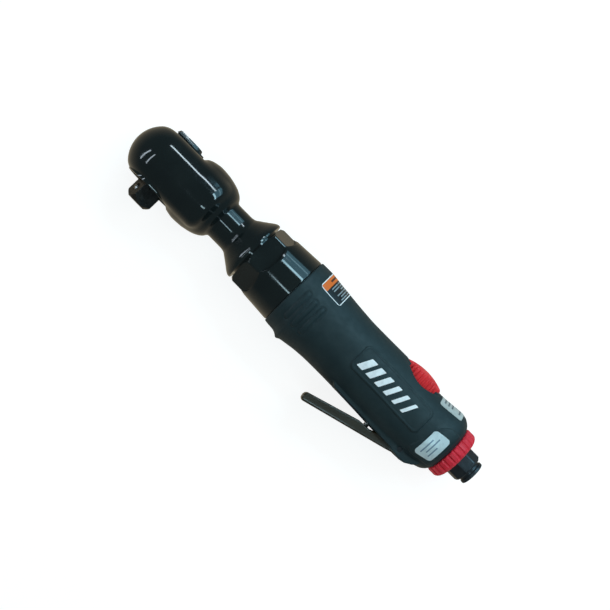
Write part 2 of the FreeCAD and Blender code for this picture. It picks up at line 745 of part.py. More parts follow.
def involute_wire(teeth, addendum, dedendum, slack, turn=0, internal=False):
    """A gear's outline in the YZ plane, one tooth (or gap, if internal) centred on +Y plus turn.

    The pressure angle is 25 degrees. Each flank is an arc through three points of the involute.
    """
    module, pressure = number("gear_module"), math.radians(25)
    pitch = module * teeth / 2
    base = pitch * math.cos(pressure)
    tip, root = pitch + addendum * module, pitch - dedendum * module
    low = max(root, base)

    def half_angle(radius):
        """Half the angle that the tooth (or gap) covers at a radius."""
        spread = math.acos(min(1, base / radius))
        start = math.tan(pressure) - pressure
        half_pitch = math.pi / (2 * teeth) - slack / (2 * pitch)
        return half_pitch + start - (math.tan(spread) - spread)

    def point(radius, angle):
        return V(0, radius * math.cos(angle), radius * math.sin(angle))

    edges, previous = [], None
    for tooth in range(teeth):
        centre = 2 * math.pi * tooth / teeth + turn
        radii = (root, low, (low + tip) / 2, tip) if root < low else (low, (low + tip) / 2, tip)
        rise = [point(r, centre - half_angle(max(r, low))) for r in radii]
        fall = [point(r, centre + half_angle(max(r, low))) for r in reversed(radii)]
        if previous is None:
            first = rise[0]
        else:
            edges.append(Part.makeLine(previous, rise[0]))
        if root < low:
            edges.append(Part.makeLine(rise[0], rise[1]))
        edges.append(Part.Arc(*rise[-3:]).toShape())
        edges.append(Part.makeLine(rise[-1], fall[0]))
        edges.append(Part.Arc(*fall[:3]).toShape())
        if root < low:
            edges.append(Part.makeLine(fall[2], fall[3]))
        previous = fall[-1]
    edges.append(Part.makeLine(previous, first))
    return Part.Wire(edges)


def prism(wire, start, end):
    body = Part.Face(wire).extrude(V(end - start, 0, 0))
    body.translate(V(start, 0, 0))
    return body


def planet_phase():
    """Turn that puts a tooth gap of a planet opposite a tooth of the sun."""
    return math.pi / PLANET_TEETH


def make_planets():
    """Three planet gears, with a gap at each one's inner side where a sun tooth sits."""
    start, end = number("gears_start"), number("gears_end")
    offset = number("planet_offset")
    for i in range(3):
        angle = math.radians(90 + 120 * i)
        wire = involute_wire(PLANET_TEETH, 0.85, 1.1, 0.1, angle + planet_phase())
        gear = prism(wire, start, end)
        hole = Part.makeCylinder(number("planet_pin_radius") + GAP, end - start, V(start, 0, 0), V(1, 0, 0))
        gear = gear.cut(hole)
        gear.translate(V(0, offset * math.cos(angle), offset * math.sin(angle)))
        solid(f"planet_gear_{i + 1}", gear)


def make_ring_gear():
    """A ring whose gaps face the planets' outer teeth."""
    start, end = number("gears_start") - 0.4, number("gears_end") + 1
    blank = doc.addObject("Part::Cylinder", "ring_gear_blank")
    bind(blank, "Radius", "ring_radius")
    bind(blank, "Height", "gears_end - gears_start + 1.4")
    blank.Placement = FreeCAD.Placement(V(start, 0, 0), FreeCAD.Rotation(V(0, 1, 0), 90))
    cutter = doc.addObject("Part::Feature", "ring_gear_teeth")
    wire = involute_wire(RING_TEETH, 1.1, 0.85, -0.1, math.radians(90) + math.pi / RING_TEETH)
    cutter.Shape = prism(wire, start - 1, end + 1)
    gear = doc.addObject("Part::Cut", "ring_gear")
    gear.Label = "ring_gear"
    gear.Base = blank
    gear.Tool = cutter
    place(gear, "tool")


# ---------------------------------------------------------------- clamp nut


def make_clamp_nut():
    body = lathe(
        "clamp_nut",
        [
            ("nut_start", "spigot_radius + 0.05"),
            ("gears_start - 0.8", "spigot_radius + 0.05"),
            ("gears_start - 0.8", "ring_radius + 0.05"),
            ("motor_start - 0.2", "ring_radius + 0.05"),
            ("motor_start - 0.2", 19.45),
            ("nut_end", 19.45),
            ("nut_end", "nut_radius - 0.4"),
            ("nut_end - 0.5", "nut_radius"),
            (113, "nut_radius"),
            (106.8, "nut_hex_radius"),
            ("nut_start + 2", "nut_hex_radius"),
            ("nut_start", "nut_hex_radius - 1.8"),
        ],
    )
    bind(body, ".Placement.Rotation.Angle", "-nut_roll")
    body.Placement.Rotation.Axis = V(1, 0, 0)
    reach = 11.5
    arc_x = f"nut_flat_end - nut_cutter + sqrt(nut_cutter * nut_cutter - {reach * reach})"
    flat = [
        ("nut_start - 1", -reach),
        (arc_x, -reach, "nut_cutter"),
        (arc_x, reach),
        ("nut_start - 1", reach),
    ]
    cut = slab(body, "XY", "nut_flat", "nut_flat + 6", [flat], cut=True)
    pattern(body, cut, 6)


# ---------------------------------------------------------------- motor


def make_end_plates():
    ring("front_end_plate", "motor_start - 0.2", "cylinder_start - 0.2", "motor_bore - 0.1", 10.55)
    ring("rear_end_plate", "cylinder_end + 0.2", "motor_end - 0.2", "motor_bore - 0.1", 9.05)
    ball_bearing("front_bearing", 119.9, 124.1, number("shaft_radius") + GAP, 10.5)
    ball_bearing("rear_bearing", 159.0, 162.4, 4.5 + GAP, 9.0)


def make_cylinder():
    """The motor cylinder: its bore is eccentric, nearest the rotor on the +Z side."""
    body = new_body("motor_cylinder")
    slab(body, "YZ", "cylinder_start", "cylinder_end",
         [(0, 0, "motor_bore - 0.1"), (0, "-cylinder_offset", "cylinder_bore")])
    slab(body, "YZ", "cylinder_start - 1", "cylinder_end + 1", [(0, 14.1, 1.25)], cut=True)
    ports = [(x, -3.5, 1.3) for x in (132, 138, 144, 150)]
    slab(body, "XY", -20, -8, ports, cut=True)
    pin = doc.addObject("Part::Cylinder", "cylinder_pin")
    pin.Label = "cylinder_pin"
    pin.Radius = 1.2
    bind(pin, "Height", "cylinder_end - cylinder_start")
    pin.Placement = FreeCAD.Placement(V(), FreeCAD.Rotation(V(0, 1, 0), 90))
    bind(pin, ".Placement.Base.x", "cylinder_start - drive_from_nose")
    bind(pin, ".Placement.Base.y", "axis_height")
    pin.Placement.Base.z = 14.1


def make_rotor():
    body = new_body("rotor")
    turned(
        body,
        "X",
        [
            ("gears_end", 0),
            (162.8, 0),
            (162.8, 4.5),
            ("cylinder_end - 0.2", 4.5),
            ("cylinder_end - 0.2", "rotor_radius"),
            ("cylinder_start + 0.2", "rotor_radius"),
            ("cylinder_start + 0.2", "shaft_radius"),
            ("gears_end", "shaft_radius"),
        ],
    )
    half = "vane_thickness / 2 + 0.1"
    slot = box_corners("vane_inner - 0.3", "rotor_radius + 1", f"-({half})", half)
    cut = slab(body, "YZ", "cylinder_start - 1", "cylinder_end + 1", [slot], cut=True)
    pattern(body, cut, VANES)
    pinion = prism(involute_wire(SUN_TEETH, 0.85, 1.1, 0.1), number("gears_start"), number("gears_end") + 0.1)
    teeth = solid("rotor_pinion", pinion)
    body.Label = "rotor_core"
    fused = doc.addObject("Part::Fuse", "rotor_with_pinion")
    fused.Label = "rotor"
    fused.Base = body
    fused.Tool = teeth


def make_vanes():
    low, high = "cylinder_start + 0.4", "cylinder_end - 0.4"
    half = "vane_thickness / 2"
    for i in range(VANES):
        body = new_body(f"rotor_vane_{i + 1}")
        slab(body, "YZ", low, high, [box_corners("vane_inner", "vane_outer", f"-({half})", half)])
        body.Placement.Rotation = FreeCAD.Rotation(V(1, 0, 0), 360 * i / VANES)


# ---------------------------------------------------------------- handle


def make_housing():
    body = lathe(
        "motor_housing",
        [
            ("motor_start", "motor_bore"),
            ("motor_end", "motor_bore"),
            ("motor_end", 0),
            ("housing_end", 0),
            ("housing_end", "housing_tail"),
            ("tail_start", "housing_tail"),
            ("tail_start", "housing_rear"),
            ("housing_step", "housing_rear"),
            ("housing_step", "housing_front"),
            ("nut_end - 0.1", "housing_front"),
            ("nut_end - 0.1", 19.4),
            ("motor_start", 19.4),
        ],
    )
    inlet = [
        ("valve_position", 0),
        ("housing_end + 1", 0),
        ("housing_end + 1", "inlet_journal - 1.15"),
        (236, "inlet_journal - 1.15"),
        (236, "passage_radius"),
        ("valve_position", "passage_radius"),
    ]
    turned(body, "X", inlet, cut=True)
    silencer = [(234, 9.8), ("housing_end + 1", 9.8), ("housing_end + 1", 12.4), (234, 12.4)]
    turned(body, "X", silencer, cut=True)
    slab(body, "XZ", -20, 4, [("valve_position", 0, "valve_bore")], cut=True)
    slab(body, "YZ", "motor_end - 1", "valve_position", [(-9.2, 0, 1.7)], cut=True)
    exhausts = [(y, z, 1.6) for y in (-4, 4) for z in (-10.4, 10.4)]
    slab(body, "YZ", "motor_end - 1", 235, exhausts, cut=True)
    slab(body, "XZ", "dial_pocket", 25, [("dial_position", 0, "dial_radius + 0.4")], cut=True)
    slab(body, "XZ", 10.2, 13, [("dial_position", 0, 4.75)], cut=True)
    slab(body, "XZ", 3, 11, [("dial_position", 0, f"spool_radius + {GAP}")], cut=True)


def make_grip():
    """The moulded cover of the handle, lofted through circles that are deeper on the lever side."""
    body = new_body("grip_shell")
    sketches = []
    for position, height, depth in GRIP_SECTIONS:
        sketch = new_sketch(body, "YZ", (0, 0, position))
        circle(sketch, (height - depth) / 2, 0, (height + depth) / 2)
        sketches.append(sketch)
    loft = body.newObject("PartDesign::AdditiveLoft", "grip_loft")
    loft.Profile = sketches[0]
    loft.Sections = sketches[1:]
    checked(body, loft, False)
    cheeks = [
        (168, -14),
        (177, -22.2),
        (196, -22.4),
        ("pivot_position - 5", -22.8),
        ("pivot_position - 2", "-pivot_depth - 3.5"),
        ("pivot_position + 7", "-pivot_depth - 3.6"),
        ("pivot_position + 13", -19),
        ("pivot_position + 13", -14),
    ]
    slab(body, "XY", "-cheek_outside", "cheek_outside", [cheeks])
    inner = [
        ("nut_end - 1", 0),
        ("housing_end + 1", 0),
        ("housing_end + 1", "housing_tail + 0.05"),
        ("tail_start + 0.05", "housing_tail + 0.05"),
        ("tail_start + 0.05", "housing_rear + 0.05"),
        ("housing_step + 0.05", "housing_rear + 0.05"),
        ("housing_step + 0.05", "housing_front + 0.05"),
        ("nut_end - 1", "housing_front + 0.05"),
    ]
    turned(body, "X", inner, cut=True)
    slab(body, "XZ", "dial_pocket", 25, [("dial_position", 0, "dial_scoop")], cut=True)
    slot = [
        (177, -30),
        (180, -20.9),
        (190, -19.6),
        (200, -18.5),
        ("pivot_position - 7", -15.6),
        ("pivot_position + 6.8", -15.2),
        ("pivot_position + 6.8", -30),
    ]
    slab(body, "XY", "-cheek_inside", "cheek_inside", [slot], cut=True)
    slab(body, "XZ", -30, -14, [("valve_position", 0, "stem_radius + 0.6")], cut=True)
    pin = ("pivot_position", "-pivot_depth", "pivot_radius")
    slab(body, "XY", -12, 12, [pin], cut=True)


def make_throttle_lever():
    """A channel whose two ears sit on the pin between the handle's cheeks. Its web stops short of the pin."""
    body = new_body("throttle_lever")
    side = [
        (168.2, -36.4),
        (169.9, -39.7),
        (221.0, -25.7),
        (226.5, -24.0),
        (230.2, -23.2, 4.4),
        (229.6, -16.7),
        (224.6, -16.6),
        (208.5, -24.0),
        (200.2, -24.6),
        (169.6, -33.9),
    ]
    slab(body, "XY", "-lever_half_width", "lever_half_width", [side])
    slope = 14.0 / 51.1
    inside = "lever_half_width - lever_wall"
    web = [
        (171.4, "-39.3 + lever_web"),
        (221, f"-39.3 + lever_web + {49.6 * slope:.3f}"),
        (221, -28),
        (240, -28),
        (240, -12),
        (171.4, -12),
    ]
    slab(body, "XY", f"-({inside})", inside, [web], cut=True)
    hole = ("pivot_position", "-pivot_depth", f"pivot_radius + {GAP}")
    slab(body, "XY", -12, 12, [hole], cut=True)


def make_lever_pin():
    pin = doc.addObject("Part::Cylinder", "lever_pin")
    pin.Label = "lever_pin"
    bind(pin, "Radius", "pivot_radius")
    bind(pin, "Height", "2 * cheek_outside - 2")
    bind(pin, ".Placement.Base.x", "pivot_position - drive_from_nose")
    bind(pin, ".Placement.Base.y", "axis_height - pivot_depth")
    bind(pin, ".Placement.Base.z", "1 - cheek_outside")


# ---------------------------------------------------------------- valve and regulator


def make_throttle_valve():
    at = "valve_position"
    stem = [
        (0, "-stem_tip"),
        ("stem_radius - 0.9", "-stem_tip"),
        ("stem_radius", "-stem_tip + 0.9"),
        ("stem_radius", "-seat_top + 0.1"),
        (3.4, "-seat_top + 0.1"),
        (3.4, "-seat_top + 2.1"),
        (0, "-seat_top + 2.1"),
    ]
    lathe("throttle_stem", stem, "Y", at=at)
    ring("stem_guide", -14.6, -12.6, "valve_bore - 0.05", f"stem_radius + {GAP}", "Y", at=at)
    ring("valve_seat", "-seat_top - 2", "-seat_top", "valve_bore - 0.05", 2.4, "Y", at=at)
    o_ring("stem_o_ring", 2.55, 0.75, V(number(at), -11.8, 0), V(0, 1, 0))
    foot = V(number(at), -number("seat_top") + 2.3, 0)
    solid("valve_spring", coil(2.6, 0.4, 3.9 - foot.y, 2.5, foot, V(0, 1, 0)))


def o_ring(label, radius, section, centre, axis):
    solid(label, Part.makeTorus(radius, section, centre, axis))


def make_regulator():
    at = "dial_position"
    crown = "((dial_radius * dial_radius) / (dial_top - dial_rim) + dial_top - dial_rim) / 2"
    body = new_body("regulator_dial")
    turned(
        body,
        "Y",
        [(0, "dial_base"), ("dial_radius", "dial_base"), ("dial_radius", "dial_rim", crown), (0, "dial_top")],
        at=at,
    )
    scallops = [
        (f"dial_position + (dial_radius + 0.4) * cos({a})", f"(dial_radius + 0.4) * sin({a})", 1.0)
        for a in (360 * i / DIAL_SCALLOPS for i in range(DIAL_SCALLOPS))
    ]
    slab(body, "XZ", "dial_base - 1", "dial_top + 1", scallops, cut=True)
    ring("regulator_spool", 4.6, "dial_base - 0.1", "spool_radius", 0.9, "Y", at=at)
    o_ring("dial_o_ring", 3.95, 0.7, V(number(at), 11.2, 0), V(0, 1, 0))


# ---------------------------------------------------------------- inlet and exhaust


def make_exhaust_collar():
    """A knurled ring that turns on the inlet bushing."""
    body = lathe(
        "exhaust_collar",
        [
            ("collar_start", "inlet_journal + 0.07"),
            ("collar_end", "inlet_journal + 0.07"),
            ("collar_end", 12.9, 3),
            ("collar_end - 2.6", "collar_radius"),
            ("collar_start + 0.5", "collar_radius"),
            ("collar_start", "collar_radius - 0.5"),
        ],
    )
    flutes = [polar("collar_radius + 0.5", 360 * i / RING_FLUTES) + (1.1,) for i in range(RING_FLUTES)]
    slab(body, "YZ", "collar_start - 1", "collar_end + 1", flutes, cut=True)


def make_inlet():
    body = lathe(
        "inlet_bushing",
        [
            (238, "passage_radius"),
            ("inlet_end - thread_depth", "passage_radius"),
            ("inlet_end - thread_depth", "inlet_thread"),
            ("inlet_end", "inlet_thread"),
            ("inlet_end", 7.1),
            ("inlet_end - 0.4", 7.5),
            ("inlet_end - 1.9", 7.5),
            ("inlet_end - 2.3", 6.8),
            ("collar_end + 0.1", 6.8),
            ("collar_end + 0.1", "inlet_journal"),
            ("housing_end + 0.1", "inlet_journal"),
            ("housing_end + 0.1", "inlet_journal - 1.2"),
            (244, "inlet_journal - 1.2"),
            (244, 6.85),
            (242.4, 6.85),
            (242.4, "inlet_journal - 1.2"),
            (238, "inlet_journal - 1.2"),
        ],
    )
    corner = "inlet_flats / 2 / cos(22.5)"
    octagon = [polar(corner, f"inlet_roll + 22.5 + {45 * i}") for i in range(8)]
    slab(body, "YZ", "collar_end + 0.3", "inlet_flats_end", [octagon, (0, 0, "inlet_thread + 0.5")])
    end = number("inlet_flats_end")
    corner_radius = number(corner) * 0.99

    def outer_edge(edge):
        flat = edge.BoundBox.XLength < 0.01 and abs(edge.BoundBox.XMin - end) < 0.01
        return flat and math.hypot(edge.Vertexes[0].Point.y, edge.Vertexes[0].Point.z) > corner_radius

    dress(body, "Chamfer", outer_edge, 0.9)
    o_ring("inlet_o_ring", 7.4, 0.5, V(243.2, 0, 0), V(1, 0, 0))
    screen = new_body("inlet_screen")
    holes = [(0, 0, 0.9)] + [polar(2.8, 60 * i) + (0.9,) for i in range(6)]
    slab(screen, "YZ", 236.3, 237.5, [(0, 0, 7.8)] + holes)
    ring("exhaust_silencer", 236, 246.4, 12.3, 9.9)


def make_all():
    make_head()
    make_head_closure()
    make_anvil()
    make_detent()
    make_pawls()
    make_pawl_pins()
    make_reverse_lever()
    make_plungers()
    make_yoke()
    make_crankshaft()
    make_drive_bushing()
    needle_bearing("needle_bearing_front", 54, 64)
    needle_bearing("needle_bearing_rear", 70, 80)
    ring("thrust_washer", 100.4, 102.4, 13.2, "shaft_radius + 0.1")
    make_planets()
    make_ring_gear()
    make_clamp_nut()
    make_end_plates()
    make_cylinder()
    make_rotor()
    make_vanes()
    make_housing()
    make_grip()
    make_throttle_lever()
    make_lever_pin()
    make_throttle_valve()
    make_regulator()
    make_exhaust_collar()
    make_inlet()


HELPERS = ("yoke_blank", "yoke_teeth", "ring_gear_blank", "ring_gear_teeth", "rotor_core", "rotor_pinion")


def write_parts():
    """Checks every object, then writes each sub-part's solids to its own file."""
    doc.recompute()
    for thing in doc.Objects:
        if any(word in state for state in thing.State for word in ("Invalid", "Error")):
            raise RuntimeError(f"{thing.Name} failed: {thing.State}")
    os.makedirs("parts", exist_ok=True)
    kinds = ("PartDesign::Body", "Part::Feature", "Part::Cut", "Part::Fuse", "Part::Cylinder", "Part::Sphere")
    for thing in doc.Objects:
        if thing.TypeId not in kinds or thing.Label in HELPERS:
            continue
        if thing.Shape.isNull() or not thing.Shape.isValid():
            raise RuntimeError(f"{thing.Label} has no valid shape")
        thing.Shape.exportStep(f"parts/{thing.Label}.step")
        box = thing.Shape.optimalBoundingBox(False)
        print(f"{thing.Label:24s} {len(thing.Shape.Solids):3d} {thing.Shape.Volume:10.1f}", box)


make_all()
write_parts()
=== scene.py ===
import json
import math

import bmesh
import bpy
import numpy as np
from mathutils import Matrix, Vector


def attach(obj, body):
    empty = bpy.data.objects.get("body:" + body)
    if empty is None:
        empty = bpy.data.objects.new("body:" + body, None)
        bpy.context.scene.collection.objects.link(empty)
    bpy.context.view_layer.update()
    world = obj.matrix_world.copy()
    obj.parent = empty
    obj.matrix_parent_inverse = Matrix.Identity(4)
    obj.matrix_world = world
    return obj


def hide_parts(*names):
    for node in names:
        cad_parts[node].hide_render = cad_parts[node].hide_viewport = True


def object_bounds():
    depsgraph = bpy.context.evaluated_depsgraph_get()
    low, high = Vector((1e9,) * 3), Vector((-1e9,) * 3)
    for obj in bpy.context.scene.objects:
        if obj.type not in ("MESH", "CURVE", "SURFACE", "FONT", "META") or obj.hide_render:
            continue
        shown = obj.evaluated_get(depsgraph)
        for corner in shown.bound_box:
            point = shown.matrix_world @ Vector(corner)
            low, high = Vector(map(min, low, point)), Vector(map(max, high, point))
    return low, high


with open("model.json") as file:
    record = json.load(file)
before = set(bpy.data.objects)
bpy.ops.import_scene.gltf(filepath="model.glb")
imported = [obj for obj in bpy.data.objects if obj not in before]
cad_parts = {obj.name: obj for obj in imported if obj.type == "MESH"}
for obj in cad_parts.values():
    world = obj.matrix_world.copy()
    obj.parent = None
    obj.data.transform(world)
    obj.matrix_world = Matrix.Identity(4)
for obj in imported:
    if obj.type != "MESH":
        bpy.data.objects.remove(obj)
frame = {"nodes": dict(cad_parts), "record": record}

cad_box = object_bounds()

# The row frame is in metres: +X from the head to the air inlet, -Y the way the drive points.
# The tool frame used for shapes is in millimetres: s from the nose, y and z from the tool's axis.
# DRIVE, DIAL and STEM are places along the tool, and PIVOT is the throttle lever's pin.
# AIM is the place in the row frame that the camera and the lights point at.
MM = 0.001
NOSE = -25.4
AXIS = 17.7
DRIVE = 25.4
DIAL = 208.6
STEM = 205.5
PIVOT = (227.2, -20.2)
AIM = 0.108


# ---------------------------------------------------------------- mesh tools


def to_row(points):
    """Tool frame millimetres to row frame metres."""
    return (np.asarray(points, float) + np.array((NOSE, AXIS, 0.0))) * MM


def new_piece(name, vertices, faces):
    mesh = bpy.data.meshes.new(name)
    mesh.from_pydata(to_row(vertices).tolist(), [], faces)
    piece = bpy.data.objects.new(name, mesh)
    bpy.context.scene.collection.objects.link(piece)
    return piece


def turn_outwards(piece):
    """Joins the points that coincide and turns every face outwards."""
    work = bmesh.new()
    work.from_mesh(piece.data)
    bmesh.ops.remove_doubles(work, verts=work.verts, dist=1e-7)
    bmesh.ops.recalc_face_normals(work, faces=work.faces)
    if work.calc_volume(signed=True) < 0:
        bmesh.ops.reverse_faces(work, faces=work.faces)
    work.to_mesh(piece.data)
    work.free()


def skin(name, rings, wrap=False):
    """A closed skin over rings of equal length. The ends are capped, or joined to each other."""
    rings = np.asarray(rings, float)
    count, around = rings.shape[:2]
    faces = []
    for i in range(count if wrap else count - 1):
        low, high = i * around, (i + 1) % count * around
        for j in range(around):
            k = (j + 1) % around
            faces.append((low + j, low + k, high + k, high + j))
    if not wrap:
        faces.append(tuple(range(around)))
        faces.append(tuple(range((count - 1) * around, count * around)))
    piece = new_piece(name, rings.reshape(-1, 3), faces)
    turn_outwards(piece)
    return piece


def full_turn(around):
    """Evenly spaced angles, in radians."""
    return np.arange(around) * 2 * math.pi / around


def round_ring(s, radius, angle):
    """A ring about the tool's axis. The angle runs from +Z towards +Y."""
    return np.stack((s + 0 * angle, radius * np.sin(angle), radius * np.cos(angle)), 1)


def sector_angle(angle, count):
    """The angle from the middle of the nearest of count equal sectors."""
    half = math.pi / count
    return (angle + half) % (2 * half) - half


def notches(angle, count, width, power):
    """1 in the middle of each of count notches and 0 between them. Width is their share of the spacing."""
    half = math.pi / count
    return np.clip(1 - (sector_angle(angle, count) / (width * half)) ** 2, 0, 1) ** power


def lathe(name, profile, about="X", centre=(0.0, 0.0, 0.0), around=96, wrap=False):
    """Turns (distance along, radius) points about an axis through the centre."""
    angle = full_turn(around)
    rings = []
    for along, radius in profile:
        p, q = radius * np.cos(angle), radius * np.sin(angle)
        run = np.full(around, along)
        columns = {"X": (run, q, p), "Y": (p, run, q), "Z": (p, q, run)}[about]
        rings.append(np.stack(columns, 1) + np.array(centre))
    return skin(name, rings, wrap)


def prism(name, corners, low, high, plane="XY"):
    """A flat outline pushed through from low to high."""
    rings = []
    for level in (low, high):
        ring = []
        for a, b in corners:
            ring.append({"XY": (a, b, level), "XZ": (a, level, b), "YZ": (level, a, b)}[plane])
        rings.append(ring)
    return skin(name, rings)


def bake(piece):
    """Applies the piece's modifiers."""
    bpy.context.view_layer.update()
    depsgraph = bpy.context.evaluated_depsgraph_get()
    mesh = bpy.data.meshes.new_from_object(piece.evaluated_get(depsgraph))
    piece.modifiers.clear()
    piece.data = mesh
    mesh.name = piece.name


def combine(piece, tool, operation="DIFFERENCE"):
    """Cuts the tool out of the piece, or joins it on, and removes the tool."""
    boolean = piece.modifiers.new("boolean", "BOOLEAN")
    boolean.operation = operation
    boolean.solver = "MANIFOLD"
    boolean.object = tool
    bake(piece)
    bpy.data.objects.remove(tool)


def ease_edges(piece, width, angle=40, segments=3):
    """Rounds the edges that turn by more than the angle, in degrees. The width is in millimetres."""
    bevel = piece.modifiers.new("bevel", "BEVEL")
    bevel.width = width * MM
    bevel.segments = segments
    bevel.limit_method = "ANGLE"
    bevel.angle_limit = math.radians(angle)
    bake(piece)


def finish_piece(piece, body, look, nodes=(), sharp=32):
    """Shades a piece, puts its look in a material slot, parents it to its body and hides the CAD nodes that it
    stands for.
    """
    piece.data.shade_smooth()
    piece.data.set_sharp_from_angle(angle=math.radians(sharp))
    piece.data.materials.clear()
    piece.data.materials.append(look)
    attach(piece, body)
    if nodes:
        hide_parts(*nodes)
    return piece


def curve(points, at):
    """A monotone cubic through points (x, y), evaluated at an array of x."""
    x, y = np.array(points, float).T
    step, rise = np.diff(x), np.diff(y) / np.diff(x)
    slope = np.zeros(len(x))
    slope[0], slope[-1] = rise[0], rise[-1]
    for i in range(1, len(x) - 1):
        if rise[i - 1] * rise[i] > 0:
            a, b = 2 * step[i] + step[i - 1], step[i] + 2 * step[i - 1]
            slope[i] = (a + b) / (a / rise[i - 1] + b / rise[i])
    at = np.clip(at, x[0], x[-1])
    i = np.clip(np.searchsorted(x, at, side="right") - 1, 0, len(x) - 2)
    t = (at - x[i]) / step[i]
    low = y[i] * (1 + 2 * t) * (1 - t) ** 2 + slope[i] * step[i] * t * (1 - t) ** 2
    return low + y[i + 1] * t * t * (3 - 2 * t) + slope[i + 1] * step[i] * t * t * (t - 1)


def soft_min(a, b, reach):
    """The smaller value, with the crossing rounded over the reach."""
    h = np.clip(0.5 + 0.5 * (b - a) / reach, 0, 1)
    return b * (1 - h) + a * h - reach * h * (1 - h)


def soft_max(a, b, reach):
    return -soft_min(-np.asarray(a), -np.asarray(b), reach)


def step_up(value, start, end):
    """Rises smoothly from 0 at the start to 1 at the end."""
    t = np.clip((value - start) / (end - start), 0, 1)
    return t * t * (3 - 2 * t)


def rounded_corner(a, b, corner):
    """Distance outside the rounded corner of two faces, from the distance outside each of them."""
    a, b = a + corner, b + corner
    return np.hypot(np.maximum(a, 0), np.maximum(b, 0)) + np.minimum(np.maximum(a, b), 0) - corner


def rounded_box(x, y, half_x, half_y, corner):
    """Distance outside a rounded rectangle centred on the origin, negative inside."""
    return rounded_corner(np.abs(x) - half_x, np.abs(y) - half_y, corner)


# ---------------------------------------------------------------- materials


class Look:
    """A node material whose patterns are laid out in millimetres of the row frame."""

    def __init__(self, name, metallic=0.0, specular=0.5, coat=0.0, coat_roughness=0.1, sheen=0.0):
        self.material = bpy.data.materials.new(name)
        self.material.use_nodes = True
        self.tree = self.material.node_tree
        self.shader = self.tree.nodes["Principled BSDF"]
        self.put("Metallic", metallic)
        self.put("Specular IOR Level", specular)
        self.put("Coat Weight", coat)
        self.put("Coat Roughness", coat_roughness)
        self.put("Sheen Weight", sheen)
        self.put("Sheen Roughness", 0.45)
        place = self.tree.nodes.new("ShaderNodeTexCoord")
        scale = self.add("ShaderNodeVectorMath", operation="SCALE")
        self.tree.links.new(place.outputs["Object"], scale.inputs[0])
        scale.inputs["Scale"].default_value = 1 / MM
        self.place = scale.outputs["Vector"]
        self.normal = None

    def add(self, kind, **settings):
        node = self.tree.nodes.new(kind)
        for key, value in settings.items():
            setattr(node, key, value)
        return node

    def feed(self, socket, value):
        if isinstance(value, bpy.types.NodeSocket):
            self.tree.links.new(value, socket)
        elif isinstance(value, tuple) and len(value) == 3 and socket.type == "RGBA":
            socket.default_value = value + (1,)
        else:
            socket.default_value = value

    def put(self, name, value):
        self.feed(self.shader.inputs[name], value)

    def stretched(self, stretch):
        node = self.add("ShaderNodeVectorMath", operation="MULTIPLY")
        self.feed(node.inputs[0], self.place)
        node.inputs[1].default_value = stretch
        return node.outputs["Vector"]

    def noise(self, size, detail=3.0, stretch=None):
        """Noise of about that size in millimetres, finer where it is stretched by more than 1."""
        node = self.add("ShaderNodeTexNoise")
        self.feed(node.inputs["Vector"], self.stretched(stretch) if stretch else self.place)
        node.inputs["Scale"].default_value = 1 / size
        node.inputs["Detail"].default_value = detail
        return node.outputs["Fac"]

    def cells(self, size):
        node = self.add("ShaderNodeTexVoronoi", feature="F1")
        self.feed(node.inputs["Vector"], self.place)
        node.inputs["Scale"].default_value = 1 / size
        return node.outputs["Distance"]

    def spread(self, value, low, high, start=0.35, end=0.65):
        node = self.add("ShaderNodeMapRange")
        self.feed(node.inputs["Value"], value)
        for name, number in (("From Min", start), ("From Max", end), ("To Min", low), ("To Max", high)):
            node.inputs[name].default_value = number
        return node.outputs["Result"]

    def sum(self, a, b, operation="ADD"):
        node = self.add("ShaderNodeMath", operation=operation)
        self.feed(node.inputs[0], a)
        self.feed(node.inputs[1], b)
        return node.outputs["Value"]

    def mix(self, factor, a, b):
        node = self.add("ShaderNodeMix", data_type="RGBA")
        self.feed(node.inputs[0], factor)
        self.feed(node.inputs[6], a)
        self.feed(node.inputs[7], b)
        return node.outputs[2]

    def bump(self, height, depth, strength=1.0):
        """Depth in millimetres for a height that runs from 0 to 1."""
        node = self.add("ShaderNodeBump")
        self.feed(node.inputs["Height"], height)
        node.inputs["Distance"].default_value = depth * MM
        node.inputs["Strength"].default_value = strength
        if self.normal:
            self.feed(node.inputs["Normal"], self.normal)
        self.normal = node.outputs["Normal"]
        self.put("Normal", self.normal)

    def worn(self, start=0.52, end=0.6):
        """Runs from 0 to 1 at outward edges."""
        node = self.add("ShaderNodeNewGeometry")
        return self.spread(node.outputs["Pointiness"], 0, 1, start, end)


def enamel(name, colour, faint, roughness, peel=0.004):
    """Sprayed paint over a casting: orange peel, dust, and colour that drifts a little."""
    look = Look(name, specular=0.5, coat=0.35, coat_roughness=0.04)
    drift = look.spread(look.noise(14, 4), 0, 1)
    look.put("Base Color", look.mix(drift, colour, faint))
    smudge = look.spread(look.noise(6, 5), roughness, roughness + 0.08, 0.4, 0.7)
    look.put("Roughness", smudge)
    look.bump(look.noise(1.6, 2), peel)
    look.bump(look.noise(0.35, 2), peel / 5)
    return look.material


def steel(name, colour, faint, roughness, grain=(0.15, 1, 1), mark=0.002, metallic=1.0):
    """Machined steel: fine tool marks along one way, with stains and scratches."""
    look = Look(name, metallic=metallic)
    stain = look.spread(look.noise(4, 5), 0, 1)
    look.put("Base Color", look.mix(stain, colour, faint))
    marks = look.noise(0.12, 3, stretch=grain)
    rough = look.spread(look.noise(1.5, 4), roughness, roughness + 0.18)
    look.put("Roughness", look.sum(rough, look.spread(marks, -0.05, 0.05)))
    look.bump(marks, mark)
    return look.material


